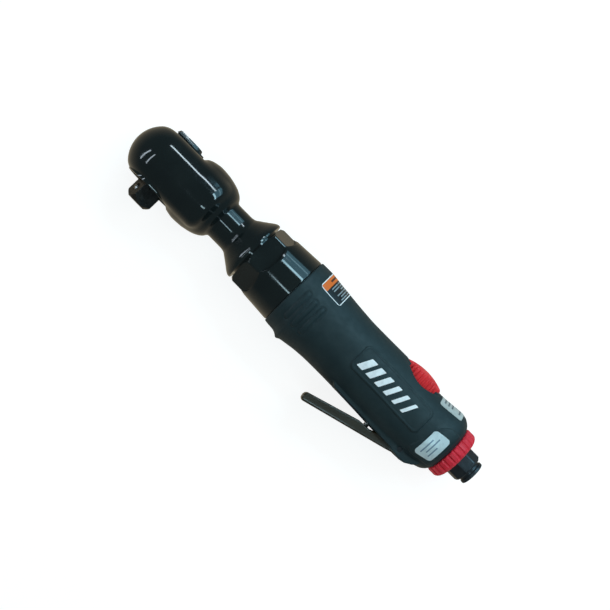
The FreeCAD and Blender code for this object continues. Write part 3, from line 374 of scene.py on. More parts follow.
def moulding(name, colour, faint, roughness, grain, depth, specular=0.5, sheen=0.0):
    """Moulded plastic or rubber: fine grain over slow waves, rubbed a little at the edges."""
    look = Look(name, specular=specular, sheen=sheen)
    drift = look.spread(look.noise(9, 4), 0, 1)
    body = look.mix(drift, colour, faint)
    rubbed = tuple(min(1.0, c * 1.5 + 0.01) for c in colour)
    look.put("Base Color", look.mix(look.sum(look.worn(), 0.6, "MULTIPLY"), body, rubbed))
    look.put("Roughness", look.spread(look.noise(3, 4), roughness, roughness + 0.12))
    look.bump(look.noise(6, 2), depth * 2, 0.5)
    look.bump(look.cells(grain), depth)
    return look.material


# Each row is a maker and what it is called with: name, colour, second colour, roughness and its own settings.
LOOKS = (
    (enamel, "head_paint", (0.0055, 0.0085, 0.009), (0.008, 0.0115, 0.0115), 0.07, 0.0015),
    (enamel, "lever_finish", (0.012, 0.018, 0.02), (0.017, 0.023, 0.025), 0.24, 0.002),
    (moulding, "grip_rubber", (0.0105, 0.023, 0.0265), (0.0145, 0.029, 0.0325), 0.5, 0.28, 0.012, 0.35),
    (enamel, "lever_paint", (0.02, 0.0135, 0.005), (0.027, 0.0185, 0.0075), 0.42, 0.006),
    (steel, "black_oxide", (0.028, 0.034, 0.04), (0.04, 0.047, 0.053), 0.3, (0.15, 1, 1), 0.002, 0.6),
    (steel, "drive_steel", (0.05, 0.05, 0.052), (0.085, 0.082, 0.08), 0.26, (1, 0.15, 1)),
    (steel, "inner_steel", (0.55, 0.55, 0.56), (0.42, 0.41, 0.4), 0.2, (1, 0.2, 0.2)),
    (steel, "spring_steel", (0.5, 0.5, 0.51), (0.38, 0.37, 0.36), 0.24, (1, 1, 1)),
    (steel, "housing_metal", (0.6, 0.61, 0.63), (0.5, 0.5, 0.5), 0.38, (0.3, 0.3, 0.3), 0.004),
    (moulding, "dial_red", (0.84, 0.03, 0.035), (0.72, 0.024, 0.028), 0.36, 0.5, 0.003, 0.3),
    (moulding, "collar_red", (0.78, 0.024, 0.046), (0.66, 0.019, 0.036), 0.38, 0.5, 0.003, 0.3),
    (moulding, "seal_rubber", (0.012, 0.012, 0.012), (0.02, 0.02, 0.02), 0.5, 0.3, 0.004),
    (moulding, "vane_resin", (0.16, 0.075, 0.028), (0.22, 0.11, 0.045), 0.5, 0.4, 0.01),
    (steel, "bearing_brass", (0.62, 0.42, 0.16), (0.5, 0.32, 0.12), 0.24, (1, 0.2, 0.2)),
    (moulding, "silencer_felt", (0.35, 0.35, 0.33), (0.26, 0.26, 0.24), 0.85, 0.2, 0.05, 0.2, 0.3),
)


def make_looks():
    """Makes every look and puts it on the CAD nodes of its slot."""
    looks = {name: maker(name, *settings) for maker, name, *settings in LOOKS}
    for subpart in frame["record"]["subparts"]:
        for slot in frame["nodes"][subpart["node"]].material_slots:
            slot.material = looks[subpart["material_slot"]]
    return looks


# ---------------------------------------------------------------- head

# The barrel's radius along the tool, from inside the slab to the nut.
BARREL = (
    (33.0, 9.0), (34.5, 13.0), (35.6, 15.6), (37.6, 17.9), (41.0, 19.3), (46.0, 20.1), (51.4, 19.8),
    (57.2, 18.7), (60.1, 17.8), (62.9, 16.4), (65.0, 14.7), (66.2, 13.0), (67.0, 12.35), (67.8, 12.2),
    (76.5, 12.2), (79.4, 12.6), (82.0, 14.2), (86.0, 17.05), (89.6, 19.6), (90.8, 20.12), (91.9, 20.2),
    (92.3, 19.9),
)
# The slab is level with SLAB_MIDDLE. Its section joins a small arc at each corner to a large arc at each side.
SLAB_MIDDLE = -1.35
NOSE_RADIUS = 22
SLAB_END = 61.5
SHOULDER_RADIUS = 6.5
CORNER = (9.6, 6.35)
CORNER_RADIUS = 10
SIDE_MIDDLE = 2.4
SIDE_RADIUS = 19.6
SPIGOT_RADIUS = 16.2


def head_distance(s, y, z):
    """Roughly the distance outside the cast head: a rounded slab that runs into a round barrel."""
    lateral = np.where(s < NOSE_RADIUS, np.hypot(s - NOSE_RADIUS, z), np.abs(z))
    height = np.abs(y - SLAB_MIDDLE)
    over, above = lateral - CORNER[0], height - CORNER[1]
    small_arc = np.hypot(over, above) - CORNER_RADIUS
    large_arc = np.hypot(lateral - SIDE_MIDDLE, height) - SIDE_RADIUS
    side = np.where(above * (CORNER[0] - SIDE_MIDDLE) > over * CORNER[1], small_arc, large_arc)
    side = np.where(over < 0, above - CORNER_RADIUS, side)
    slab = rounded_corner(side, s - SLAB_END, SHOULDER_RADIUS)
    barrel = np.maximum((np.hypot(y, z) - curve(BARREL, s)) * 0.9, BARREL[0][0] - s)
    return soft_min(slab, barrel, 1.6)


def make_head(look):
    """The casting: rings found by halving the gap to its surface, then turned rings behind the neck."""
    nose = NOSE_RADIUS * (1 - np.cos(np.linspace(0.028, math.pi / 2, 56)))
    stations = np.concatenate((nose, np.arange(22.4, 54, 0.45), np.arange(54, 70, 0.3)))
    angle = full_turn(224)
    s = np.repeat(stations[:, None], len(angle), 1)
    up, out = np.sin(angle)[None, :], np.cos(angle)[None, :]
    middle = SLAB_MIDDLE * (1 - step_up(s, 24, 48))
    low, high = np.zeros(s.shape), np.full(s.shape, 30.0)
    for _ in range(24):
        radius = (low + high) / 2
        inside = head_distance(s, middle + radius * up, radius * out) < 0
        low, high = np.where(inside, radius, low), np.where(inside, high, radius)
    rings = list(np.stack((s, middle + low * up, low * out), 2))
    barrel_end = BARREL[-1][0]
    for x in np.concatenate((np.arange(70.5, barrel_end, 0.6), (barrel_end,))):
        rings.append(round_ring(x, float(curve(BARREL, np.array(x))), angle))
    for x, radius in ((barrel_end, SPIGOT_RADIUS), (108.4, SPIGOT_RADIUS), (109.0, SPIGOT_RADIUS - 0.6)):
        rings.append(round_ring(x, radius, angle))
    head = skin("head_casting", rings)
    at = (DRIVE, 0.0, 0.0)
    land = [(-10, 16.4), (-17.3, 16.4), (-17.58, 16.28), (-17.7, 16.0)]
    combine(head, lathe("land", land, "Y", at), "UNION")
    mouth = [(-19, 15.2), (-17.7, 15.0), (-17.3, 14.6)]
    ring_groove = [(-17.3, 15.35), (-16.2, 15.35)]
    drum = [(-16.2, 14.6), (9.5, 14.6)]
    journal = [(9.5, 7.05), (15, 7.05)]
    lever_relief = [(15, 12.4), (21, 12.4)]
    combine(head, lathe("bore", mouth + ring_groove + drum + journal + lever_relief, "Y", at))
    cavity = [(36, 12.5), (53, 12.5), (53, 9), (84.2, 9), (91.3, 13.8), (110, 13.8)]
    combine(head, lathe("cavity", cavity))
    finish_piece(head, "handle", look, ["ratchet_head"])


def lever_bar(inset):
    """The reverse lever's outline: a finger end with cut corners in front, and a rounded rear."""
    half = 5.5 - inset
    tip, shoulder = DRIVE - 11.5 + inset, DRIVE - 10.3 + inset
    bar = [(tip, 1.6 - half), (shoulder, -half), (DRIVE, -half)]
    for a in np.linspace(0.25, math.pi - 0.25, 15):
        bar.append((DRIVE + (6.6 - inset) * math.sin(a), -half * math.cos(a)))
    return bar + [(DRIVE, half), (shoulder, half), (tip, half - 1.6)]


def make_reverse_lever(look):
    """A plate with finger grooves and a screw on top, a foot below and a stem down the anvil."""
    foot, low, high = 32.85 - AXIS, 33.7 - AXIS, 36.0 - AXIS
    at = (DRIVE, 0.0, 0.0)
    levels = ((low, 0.15), (low + 0.2, 0), (high, 0.9))
    rings = [[(s, y, z) for s, z in lever_bar(inset)] for y, inset in levels]
    lever = skin("reverse_plate", rings)
    ease_edges(lever, 0.25, 50)
    for offset in np.arange(-9.9, -3.5, 1.3):
        groove = lathe("groove", [(-6, 0.42), (6, 0.42)], "Z", (DRIVE + offset, high + 0.2, 0.0), 20)
        combine(lever, groove)
    outline = [(-10.6, -4.6), (3.6, -4.6), (8.4, -1.2), (8.4, 1.2), (3.6, 4.6), (-10.6, 4.6)]
    corners = [(DRIVE + s, z) for s, z in outline]
    combine(lever, prism("foot", corners, foot, low + 0.6, "XZ"), "UNION")
    stem = [(8.3 - AXIS, 3.0), (8.7 - AXIS, 3.4), (foot + 0.3, 3.4)]
    combine(lever, lathe("stem", stem, "Y", at, 48), "UNION")
    combine(lever, lathe("recess", [(high - 0.7, 2.6), (high + 1, 2.6)], "Y", at, 48))
    screw = [(high - 0.9, 2.3), (high - 0.35, 2.3), (high - 0.1, 1.9)]
    combine(lever, lathe("screw", screw, "Y", at, 48), "UNION")
    slot = [(DRIVE + s, z) for s, z in ((-2.5, -0.35), (2.5, -0.35), (2.5, 0.35), (-2.5, 0.35))]
    combine(lever, prism("slot", slot, high - 0.55, high + 1, "XZ"))
    finish_piece(lever, "reverse_lever", look, ["reverse_lever"], 25)


# ---------------------------------------------------------------- clamp nut


def make_nut(look):
    """Six milled flats at the front of a round nut. Each flat ends in the arc of its cutter."""
    flat, corner, flat_end, cutter, largest = 18.25, 20.95, 105.8, 20, 22.2
    angle = full_turn(288)
    rolled = angle + math.radians(9)
    off = sector_angle(angle, 6)
    hexagon = soft_min(flat / np.cos(off), corner, 0.35)
    reach = flat * np.tan(np.abs(off))
    wall = flat_end - cutter + np.sqrt(cutter**2 - reach**2)
    profile = [(93.3, 19.3), (95.3, 21.1), (103.5, 21.1), (122.4, 22.2), (122.9, 22.2), (123.4, 21.8)]
    places, radii = np.array(profile).T
    rings = []

    def ring(s, radius):
        rings.append(round_ring(s, radius, rolled))

    for s in np.concatenate((np.arange(93.3, 96.6, 0.2), np.arange(97, 101.1, 0.8))):
        ring(s, soft_min(hexagon, np.interp(s, places, radii), 0.25))
    for t in (0.35, 0.7, 0.92, 1.0):
        ring(101.3 + t * (wall - 101.3 - 0.25), hexagon)
    ring(wall, hexagon + 0.25)
    full = np.interp(wall, places, radii)
    ring(wall, np.maximum(full - 0.3, hexagon + 0.26))
    ring(wall + 0.12, np.maximum(full - 0.08, hexagon + 0.27))
    for t in (0.0, 0.15, 0.3, 0.45, 0.6, 0.8, 1.0):
        s = wall + 0.35 + t * (113 - wall - 0.35)
        ring(s, soft_min(np.interp(s, places, radii), largest, 0.12))
    rear = ((116, 21.83), (119, 22.0), (122.0, 22.18), (122.4, largest), (122.95, 22.1), (123.2, 21.95),
            (123.4, 21.6))
    bore = ((123.4, 19.45), (119.4, 19.45), (119.4, 18.55), (109.8, 18.55), (109.8, 16.25), (93.3, 16.25))
    for s, radius in rear + bore:
        ring(s, radius)
    nut = skin("nut_body", rings, wrap=True)
    finish_piece(nut, "handle", look, ["clamp_nut"], 28)


# ---------------------------------------------------------------- grip

# The grip's outline seen from the side: its height above the axis, and its depth below without the cheeks.
GRIP_TOP = (
    (123.5, 22.8), (130.6, 22.9), (135, 22.5), (140.5, 21.9), (147, 21.4), (158, 20.5), (170, 19.9),
    (182, 19.95), (194, 20.1), (210, 19.6), (224.5, 18.6), (233, 19.3), (239, 19.8), (241.8, 19.4),
    (243.6, 18.6), (245.6, 17.1), (247, 15.4),
)
GRIP_BOTTOM = (
    (123.5, 22.9), (127, 23.2), (130, 23.4), (132.8, 24.2), (134.7, 24.8), (136.8, 24.4), (140, 23.9),
    (148, 22.7), (158, 22.1), (170, 22.0), (194, 22.5), (210, 22.8), (224.5, 22.4), (233, 21.9),
    (239, 20.5), (241.8, 19.6), (243.6, 18.9), (245.6, 17.4), (247, 15.7),
)
# The lower edge of the cheeks on both sides of the throttle lever, and how far out they stand.
CHEEK = (
    (123, -13), (168, -14), (177, -21.7), (196, -22.1), (222, -22.8), (225.2, -23.6), (229, -23.8),
    (234, -23.6), (238, -21.2), (240.2, -19), (241, -13),
)
CHEEK_SIDE = 10.6
# Places along the grip, each with a place round it for the panel and the pad.
RIBS = (130.4, 136.5, 142.2)
CHIN = 134.7
PANEL = (199.6, 1.3)
PAD = (241, -4.6)
GRIP_END = 247


def grip_circle(s):
    top, bottom = curve(GRIP_TOP, s), curve(GRIP_BOTTOM, s)
    return (top - bottom) / 2, (top + bottom) / 2


def grip_radius(s, angle):
    """Distance from the middle of the grip's section to its surface. The angle runs from +Z towards +Y."""
    s, angle = np.broadcast_arrays(np.asarray(s, float), np.asarray(angle, float))
    middle, radius = grip_circle(s)
    down = np.maximum(-np.sin(angle), 0.02)
    depth = (middle - np.interp(s, *np.array(CHEEK).T)) / down
    side = CHEEK_SIDE / np.maximum(np.abs(np.cos(angle)), 0.02)
    cheek = soft_min(depth, side, 1.4)
    crease = np.interp(s, (185, 205, 222, 229), (0.8, 2.5, 2.5, 0.7))
    result = soft_max(radius, np.where(np.sin(angle) < -0.2, cheek, 0), crease)
    arc = radius * np.arcsin(np.clip(np.sin(angle), -1, 1))
    for rib in RIBS:
        along = np.maximum(np.abs(arc + 5.4) - 8.8, 0)
        reach = np.hypot(s - rib, along)
        bead = np.sqrt(np.clip(1 - (reach / 1.5) ** 2, 0, 1))
        result = result - 0.3 * (1 - step_up(reach, 1.5, 2.8)) + 0.65 * bead
    along, across = s - PANEL[0], arc - PANEL[1]
    panel = rounded_box(along, across, 26.2, 8.4, 3)
    result = result + 0.55 * (1 - step_up(panel, -0.45, 0.15))
    inner = rounded_box(along, across, 25.0, 7.2, 2.4)
    result = result - 0.25 * (1 - step_up(inner, -0.45, 0.15))
    across = arc - PAD[1]
    pad = rounded_box(s - PAD[0] - 0.28 * across, across, 10.2, 13.4, 6)
    result = result + 0.5 * (1 - step_up(pad, -0.7, 0.3)) * step_up(GRIP_END - s, 0.3, 2.5)
    result = result + 0.7 * np.exp(-(((s - CHIN) / 1.6) ** 2)) * np.maximum(-np.sin(angle), 0) ** 6
    lip = np.clip((124.4 - s) / 0.9, 0, 1)
    return result - 0.5 * lip**2


def grip_point(s, angle, lift=0.0):
    """Points on the grip's surface, or lifted off it."""
    middle = grip_circle(s)[0]
    radius = grip_radius(s, angle) + lift
    return np.stack((s + 0 * angle, middle + radius * np.sin(angle), radius * np.cos(angle)), -1)


def make_grip(look):
    """The rubber cover, with its bore, the dial's pocket and scoops, the lever's slot and the pin's holes."""
    spans = ((123.5, 0.15, 124.5), (124.5, 0.7, 128), (128, 0.32, 145), (145, 1.1, 172.6), (172.6, 0.3, 176.2),
             (176.2, 1.1, 189), (189, 0.5, 198), (198, 1.1, 220.6), (220.6, 0.45, 224), (224, 0.32, GRIP_END))
    stations = [np.arange(start, end - step / 3, step) for start, step, end in spans]
    stations = np.concatenate(stations + [np.array((float(GRIP_END),))])
    quarter = np.concatenate((np.linspace(0, 42, 53)[:-1], np.linspace(42, 90, 32)))
    turn = np.concatenate((quarter[:-1], 180 - quarter[::-1][:-1]))
    lower = np.concatenate((np.linspace(0, 52, 58)[:-1], np.linspace(52, 90, 32)))
    turn = np.concatenate((turn, 180 + lower[:-1], 360 - lower[::-1][:-1]))
    angle = np.radians(turn)
    rings = grip_point(np.repeat(stations[:, None], len(angle), 1), angle[None, :])
    grip = skin("grip_cover", rings)
    bore = [(122, 18.25), (166.05, 18.25), (166.05, 15.25), (240.05, 15.25), (240.05, 13.65), (249, 13.65)]
    combine(grip, lathe("bore", bore, around=128))
    at = (DIAL, 0.0, 0.0)
    pocket = [(12.0, 13.7), (18.6, 13.7), (19.4, 14.0), (26, 17.0)]
    combine(grip, lathe("pocket", pocket, "Y", at, 128))
    for side in (-1, 1):
        scoop = lathe("scoop", [(12.0, 15.6), (26, 15.6)], "Y", at, 128)
        low, high = DIAL - 20, DIAL + 20
        keep = [(low, side * 9.0), (high, side * 9.0), (high, -side * 20), (low, -side * 20)]
        combine(scoop, prism("keep", keep, 5, 30, "XZ"))
        combine(grip, scoop)
    front, rear = PIVOT[0] - 7, PIVOT[0] + 6.8
    slot = [(177, -30), (180, -20.9), (190, -19.6), (200, -18.5), (front, -15.6), (rear, -15.2), (rear, -30)]
    combine(grip, prism("slot", slot, -8.2, 8.2))
    combine(grip, lathe("stem_hole", [(-30, 2.2), (-14, 2.2)], "Y", (STEM, 0.0, 0.0), 48))
    pin = [(-13, 2.1), (-10.7, 2.1), (-10.3, 1.5), (10.3, 1.5), (10.7, 2.1), (13, 2.1)]
    combine(grip, lathe("pin_hole", pin, "Z", PIVOT + (0.0,), 48))
    finish_piece(grip, "handle", look, ["grip_shell"], 35)


# A label's chart runs over this many millimetres, with the label's middle at its middle.
CHART = 100.0


def make_patch(name, low, high, start, end, corner, lift, look, shear=0.0, count=(40, 60)):
    """A thin print on the grip, from low to high along it and from start to end round it, in degrees."""
    start, end = math.radians(start), math.radians(end)
    middle = (low + high) / 2
    radius = float(grip_circle(np.array(middle))[1])
    half, tall = (high - low) / 2, (end - start) / 2 * radius
    t = np.sin(np.linspace(-math.pi / 2, math.pi / 2, count[0]))
    inset = np.maximum(np.abs(t) * half - half + corner, 0)
    height = tall - corner + np.sqrt(np.maximum(corner**2 - inset**2, 0))
    v = np.linspace(-1, 1, count[1])[None, :] * height[:, None]
    s = middle + (t * half)[:, None] + shear * v
    angle = (start + end) / 2 + v / radius
    top = grip_point(s, angle, lift)
    base = grip_point(s, angle, -0.15)
    rows, columns = count
    vertices = np.concatenate((top.reshape(-1, 3), base.reshape(-1, 3)))
    faces = []
    shift = rows * columns
    for i in range(rows - 1):
        for j in range(columns - 1):
            a = i * columns + j
            faces.append((a, a + 1, a + columns + 1, a + columns))
            faces.append(tuple(shift + k for k in (a, a + columns, a + columns + 1, a + 1)))
    rim = [i * columns for i in range(rows)] + [(rows - 1) * columns + j for j in range(1, columns)]
    rim += [i * columns + columns - 1 for i in range(rows - 2, -1, -1)] + list(range(columns - 2, 0, -1))
    for a, b in zip(rim, rim[1:] + rim[:1]):
        faces.append((a, b, b + shift, a + shift))
    piece = new_piece(name, vertices, faces)
    layer = piece.data.uv_layers.new(name="label")
    flat = np.stack((s - middle, v + 0 * s), -1).reshape(-1, 2)
    flat = np.concatenate((flat, flat)) / CHART + 0.5
    index = np.zeros(len(piece.data.loops), int)
    piece.data.loops.foreach_get("vertex_index", index)
    layer.data.foreach_set("uv", flat[index].ravel())
    work = bmesh.new()
    work.from_mesh(piece.data)
    bmesh.ops.recalc_face_normals(work, faces=work.faces)
    work.to_mesh(piece.data)
    work.free()
    return finish_piece(piece, "handle", look, sharp=40)


class Print(Look):
    """A printed label: flat areas laid out in millimetres from the label's middle."""

    def __init__(self, name, paper, roughness, metallic=0.0):
        super().__init__(name, metallic=metallic, specular=0.5)
        chart = self.add("ShaderNodeUVMap", uv_map="label")
        parts = self.add("ShaderNodeSeparateXYZ")
        self.feed(parts.inputs[0], chart.outputs["UV"])
        self.u = self.sum(self.sum(parts.outputs["X"], -0.5), CHART, "MULTIPLY")
        self.v = self.sum(self.sum(parts.outputs["Y"], -0.5), CHART, "MULTIPLY")
        grime = self.spread(self.noise(2.5, 5), 0, 1, 0.45, 0.75)
        self.colour = self.mix(grime, paper, tuple(c * 0.82 for c in paper))
        self.put("Roughness", self.spread(self.noise(4, 3), roughness, roughness + 0.1))
        self.bump(self.noise(3, 3), 0.02)

    def within(self, value, low, high):
        node = self.add("ShaderNodeMath", operation="COMPARE")
        self.feed(node.inputs[0], value)
        node.inputs[1].default_value = (low + high) / 2
        node.inputs[2].default_value = (high - low) / 2
        return node.outputs["Value"]

    def area(self, u_low, u_high, v_low, v_high, colour):
        mask = self.sum(self.within(self.u, u_low, u_high), self.within(self.v, v_low, v_high), "MULTIPLY")
        self.colour = self.mix(mask, self.colour, colour)

    def done(self):
        self.put("Base Color", self.colour)
        return self.material


def make_labels():
    """Three stickers with plain bars for their print, and a row of slanted stripes on each side."""
    front = Print("front_label", (0.85, 0.86, 0.86), 0.35)
    front.area(-7.2, 7.2, -23, 23, (0.006, 0.009, 0.012))
    front.area(-7.2, -3.0, -23, 23, (0.8, 0.15, 0.012))
    for i, (a, b) in enumerate(((-19, 4), (-19, 15), (-12, 19), (-19, 19), (-17, 9), (-19, 17))):
        u = -2.0 + 1.55 * i
        front.area(u, u + 0.62, a, b, (0.3, 0.36, 0.39))
        front.area(u, u + 0.62, a + 7.5, a + 8.6, (0.012, 0.018, 0.022))
    for low, high in ((-15, -4), (-1.5, 6), (8.5, 15)):
        front.area(-5.7, -4.5, low, high, (0.06, 0.02, 0.012))
    make_patch("front_label", 131.8, 147.3, 31.5, 148.5, 1.6, 0.1, front.done(), count=(44, 90))
    rear = Print("rear_label", (0.46, 0.48, 0.46), 0.3)
    for i, (a, b) in enumerate(((-11, 3), (-11, 9), (-11, 11), (-6, 11), (-11, 7))):
        u = -5.6 + 2.5 * i
        rear.area(u, u + 1.0, a, b, (0.09, 0.12, 0.14))
    make_patch("rear_label", 224.4, 239.8, 49, 131, 1.4, 0.1, rear.done(), count=(36, 60))
    badge = Print("badge", (0.66, 0.76, 0.78), 0.28, 0.15)
    for i, (a, b) in enumerate(((-6.2, 3.5), (-4.6, 5.6), (-6.2, 1.2))):
        u = -2.9 + 2.4 * i
        badge.area(u, u + 0.8, a, b, (0.2, 0.28, 0.35))
    make_patch("badge_left", 232.1, 243.0, -41, 7, 2.1, 0.3, badge.done(), count=(36, 48))
    stripes = Print("white_mark", (0.92, 0.9, 0.9), 0.4).done()
    for i in range(6):
        middle, half = 180.5 + 6.6 * i, 2.2 - 0.22 * i
        for side, centre, lean in (("left", 1.3, 0.5), ("right", 178.7, -0.5)):
            name = f"stripe_{side}_{i + 1}"
            start, end = centre - 11.5, centre + 11.5
            make_patch(name, middle - half, middle + half, start, end, 0.4, 0.07, stripes, lean, (12, 24))


# ---------------------------------------------------------------- throttle lever


def make_throttle_lever(look):
    """A pressed channel: rounded outside corners, open towards the grip."""
    side = [(168.2, -36.4), (168.6, -38.3), (169.9, -39.6), (221, -25.7), (226.5, -24.0), (228.6, -23.6),
            (230.6, -22.2), (231.4, -20.2), (231.0, -18.2), (229.4, -16.8), (226.6, -16.4), (224.6, -16.9),
            (208.5, -24.0), (200.2, -24.6), (169.6, -33.9), (168.5, -34.9)]
    lever = prism("lever_channel", side, -7.8, 7.8)
    ease_edges(lever, 1.0, 60, 4)
    slope = 14.0 / 51.1
    floor = -37.1
    web = [(171.4, floor), (221, floor + 49.6 * slope), (221, -28), (240, -28), (240, -12), (171.4, -12)]
    combine(lever, prism("web", web, -6.2, 6.2))
    combine(lever, lathe("pin_hole", [(-12, 1.55), (12, 1.55)], "Z", PIVOT + (0.0,), 40))
    ease_edges(lever, 0.22, 50, 2)
    finish_piece(lever, "throttle_lever", look, ["throttle_lever"], 30)


# ---------------------------------------------------------------- regulator and exhaust ring


def make_dial(look):
    """A domed knob with finger scallops down its side and over its shoulder, and a pointer groove."""
    rim, rise, top = 13.3, 2.6, 22.2
    angle = full_turn(384)
    notch = notches(angle, 32, 0.75, 0.75)
    pointer = np.exp(-((np.minimum(angle, 2 * math.pi - angle) / 0.09) ** 2))
    crown = (rim**2 / rise + rise) / 2
    rings = []

    def ring(radius, level):
        rings.append(np.stack((DIAL + radius * np.cos(angle), level + 0 * angle, radius * np.sin(angle)), 1))

    outer = 13.25 - 0.6 * notch
    for level, inset in ((12.3, 0.4), (12.6, 0.1), (13.2, 0), (15, 0), (17, 0), (18.8, 0.04)):
        ring(outer - inset, level)
    for t in np.linspace(0, 0.97, 34):
        share = math.cos(t * math.pi / 2)
        radius = 13.1 * share - 0.6 * notch * np.clip((share - 0.5) / 0.3, 0, 1)
        level = top - crown + np.sqrt(crown**2 - (rim * share) ** 2)
        level = level - 0.35 * notch * np.clip((share - 0.55) / 0.3, 0, 1)
        level = level - 0.35 * pointer * step_up(share, 0.2, 0.4)
        ring(radius, level - 0.35 * step_up(share, 0.96, 1.0))
    dial = skin("dial_knob", rings)
    finish_piece(dial, "regulator", look, ["regulator_dial"], 45)


def make_exhaust_ring(look):
    """A fluted ring. Each row is a place, a radius and the share of the flutes' depth there."""
    angle = full_turn(416)
    notch = notches(angle, 26, 0.5, 0.8)
    profile = [(247.5, 9.27, 0), (247.5, 14.9, 0), (247.62, 15.3, 0.7), (248.0, 15.65, 1), (248.5, 15.8, 1),
               (252.4, 15.8, 1), (253.2, 15.5, 1), (254.0, 14.9, 0.9), (254.6, 14.1, 0.6), (254.9, 13.4, 0.2),
               (255.0, 12.8, 0), (255.0, 9.27, 0)]
    rings = [round_ring(s, radius - 0.75 * notch * share, angle) for s, radius, share in profile]
    collar = skin("exhaust_ring", rings, wrap=True)
    finish_piece(collar, "exhaust_collar", look, ["exhaust_collar"], 40)


# ---------------------------------------------------------------- inlet


def make_inlet(look):
    """A turned fitting with eight flats and a cut quarter inch pipe thread."""
    pitch, minor = 1.411, 5.7
    angle = full_turn(160)
    off = sector_angle(angle - math.radians(7), 8)
    octagon = soft_min(8.8 / np.cos(off), 9.42, 0.15)
    rings = []

    def ring(s, radius):
        rings.append(round_ring(s, radius, angle))

    front = ((238, 4.4), (238, 8.0), (242.4, 8.0), (242.4, 6.85), (244, 6.85), (244, 8.0), (246.9, 8.0),
             (246.9, 9.2), (255.1, 9.2), (255.1, 8.6))
    lip = ((263.8, 7.1), (264.0, 6.8), (265.2, 6.8), (265.4, 7.1), (265.6, 7.4), (265.8, 7.5), (267.1, 7.5),
           (267.35, 7.35), (267.5, 7.05), (267.5, 6.6))
    for s, radius in front:
        ring(s, radius)
    ring(255.3, octagon - 0.35)
    ring(255.6, octagon)
    ring(258, octagon)
    for s in np.arange(261.6, 263.81, 0.2):
        ring(s, soft_min(octagon, 9.55 - 1.0 * max(0, s - 262.5), 0.12))
    for s, radius in lip:
        ring(s, radius)
    for s in np.arange(267.4, 251.6, -0.14):
        phase = ((s - pitch * angle / (2 * math.pi)) / pitch) % 1
        tooth = np.clip(1.35 - 2.7 * np.abs(phase - 0.5), 0, 1)
        mouth = max(0, s - 266.6) * 0.7
        ring(s, np.maximum(6.55 - 0.85 * tooth * min(1, (s - 251.4) / 2), minor + mouth))
    ring(250.5, minor)
    ring(250.5, 4.4)
    fitting = skin("inlet_fitting", rings, wrap=True)
    finish_piece(fitting, "handle", look, ["inlet_bushing"], 30)


# ---------------------------------------------------------------- stage


def make_camera():
    """Looks at the tool's side, tilted a little towards the drive, with the head up on the left."""
    lean, roll = math.radians(4), math.radians(45.6)
    back = Vector((0, -math.sin(lean), math.cos(lean)))
    along = Vector((1, 0, 0))
    across = back.cross(along)
    right = along * math.cos(roll) + across * math.sin(roll)
    up = across * math.cos(roll) - along * math.sin(roll)
    target = Vector((AIM, 0.01695, 0))
    camera_data = bpy.data.cameras.new("camera")
    camera_data.sensor_width = 36
    camera_data.lens = 68.05
    camera = bpy.data.objects.new("camera", camera_data)
    bpy.context.scene.collection.objects.link(camera)
    distance = 0.65
    turn = Matrix((right, up, back)).transposed().to_4x4()
    camera.matrix_world = Matrix.Translation(target + back * distance) @ turn
    bpy.context.scene.camera = camera


def make_light(
    name, angle, distance, width, length, radiance, colour, towards_nose=0.0, shift=0.0, gloss=True
):
    """A soft box, seen from the tool at an angle from +Z towards +Y and at another towards the nose.

    Shift moves it along the tool. Without gloss it lights the tool but isn't reflected in it.
    """
    angle, swing = math.radians(angle), math.radians(towards_nose)
    away = Vector((-math.sin(swing), math.sin(angle) * math.cos(swing), math.cos(angle) * math.cos(swing)))
    light_data = bpy.data.lights.new(name, "AREA")
    light_data.shape = "RECTANGLE"
    light_data.size = length
    light_data.size_y = width
    light_data.energy = radiance * math.pi * width * length
    light_data.color = colour
    light = bpy.data.objects.new(name, light_data)
    bpy.context.scene.collection.objects.link(light)
    light.visible_glossy = gloss
    across = away.cross(Vector((1, 0, 0))).normalized()
    turn = Matrix((across.cross(away), across, away)).transposed().to_4x4()
    centre = Vector((AIM + shift, AXIS * MM, 0))
    light.matrix_world = Matrix.Translation(centre + away * distance) @ turn


def make_floor():
    """A plain pale sheet just under the part, which reflections on the part leave out."""
    floor_mesh = bpy.data.meshes.new("floor")
    size, level = 4.0, cad_box[0].z - 0.0001
    corners = [(x * size, y * size, level) for x, y in ((-1, -1), (1, -1), (1, 1), (-1, 1))]
    floor_mesh.from_pydata(corners, [], [(0, 1, 2, 3)])
    floor = bpy.data.objects.new("floor", floor_mesh)
    bpy.context.scene.collection.objects.link(floor)
    floor.visible_glossy = False
    paper = Look("paper", specular=0.1)
    paper.put("Base Color", paper.mix(paper.noise(40, 4), (0.33, 0.33, 0.32), (0.3, 0.3, 0.29)))
    paper.put("Roughness", 0.9)
    paper.put("Emission Color", (1.0, 1.0, 1.0))
    paper.put("Emission Strength", 0.85)
    floor_mesh.materials.append(paper.material)


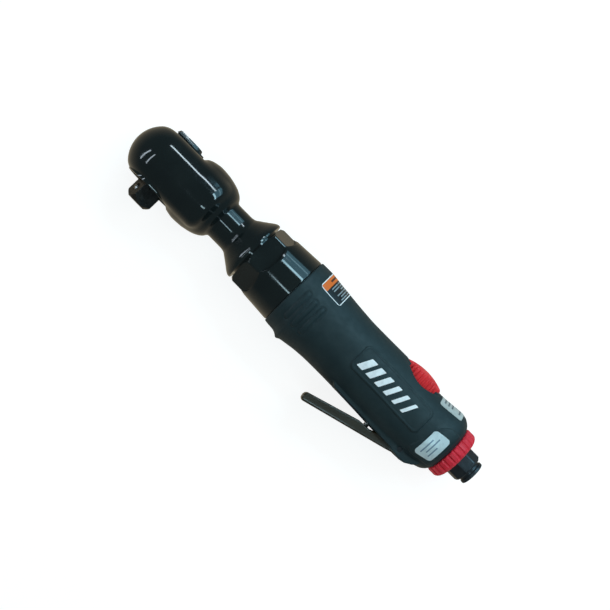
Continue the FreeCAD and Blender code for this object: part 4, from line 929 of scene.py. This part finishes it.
def make_world():
    """A dim surround, warm below and cool above."""
    world = bpy.data.worlds.new("studio")
    world.use_nodes = True
    nodes, links = world.node_tree.nodes, world.node_tree.links
    way, parts, blend = (nodes.new("ShaderNode" + kind) for kind in ("TexCoord", "SeparateXYZ", "MapRange"))
    colours = nodes.new("ShaderNodeMix")
    colours.data_type = "RGBA"
    links.new(way.outputs["Generated"], parts.inputs[0])
    links.new(parts.outputs["Z"], blend.inputs["Value"])
    blend.inputs["From Min"].default_value = -0.8
    blend.inputs["From Max"].default_value = 0.1
    links.new(blend.outputs["Result"], colours.inputs[0])
    colours.inputs[6].default_value = (0.34, 0.3, 0.22, 1)
    colours.inputs[7].default_value = (0.085, 0.115, 0.12, 1)
    links.new(colours.outputs[2], nodes["Background"].inputs["Color"])
    nodes["Background"].inputs["Strength"].default_value = 1.0
    bpy.context.scene.world = world
    bpy.context.scene.view_settings.view_transform = "Standard"


def make_lights():
    daylight = (0.55, 0.87, 1.0)
    make_light("key_strip", 38, 0.8, 0.09, 0.81, 10, daylight, shift=0.247)
    make_light("key_head", 52, 0.8, 0.06, 0.24, 15, (0.72, 0.9, 1.0), shift=-0.288)
    make_light("wide_panel", 56, 0.8, 0.55, 0.82, 1.7, (0.32, 0.76, 1.0), shift=0.242)
    make_light("upper_strip", 63, 0.8, 0.03, 0.81, 4, daylight, shift=0.247)
    make_light("lower_strip", -17, 0.9, 0.06, 0.81, 8, (0.62, 0.9, 1.0), shift=0.247)
    make_light("rear_panel", 15, 0.8, 0.5, 0.4, 1.9, (1.0, 0.93, 0.88), shift=0.22, gloss=False)
    make_light("nose_window", -40, 0.8, 0.5, 0.05, 8, (0.75, 0.88, 1.0), 60)
    make_light("side_window", -30, 0.8, 0.5, 0.04, 8, (0.75, 0.88, 1.0), 41)


make_camera()
looks = make_looks()
make_head(looks["head_paint"])
make_reverse_lever(looks["lever_finish"])
make_nut(looks["head_paint"])
make_grip(looks["grip_rubber"])
make_labels()
make_throttle_lever(looks["lever_paint"])
make_dial(looks["dial_red"])
make_exhaust_ring(looks["collar_red"])
make_inlet(looks["black_oxide"])
make_floor()
make_world()
make_lights()
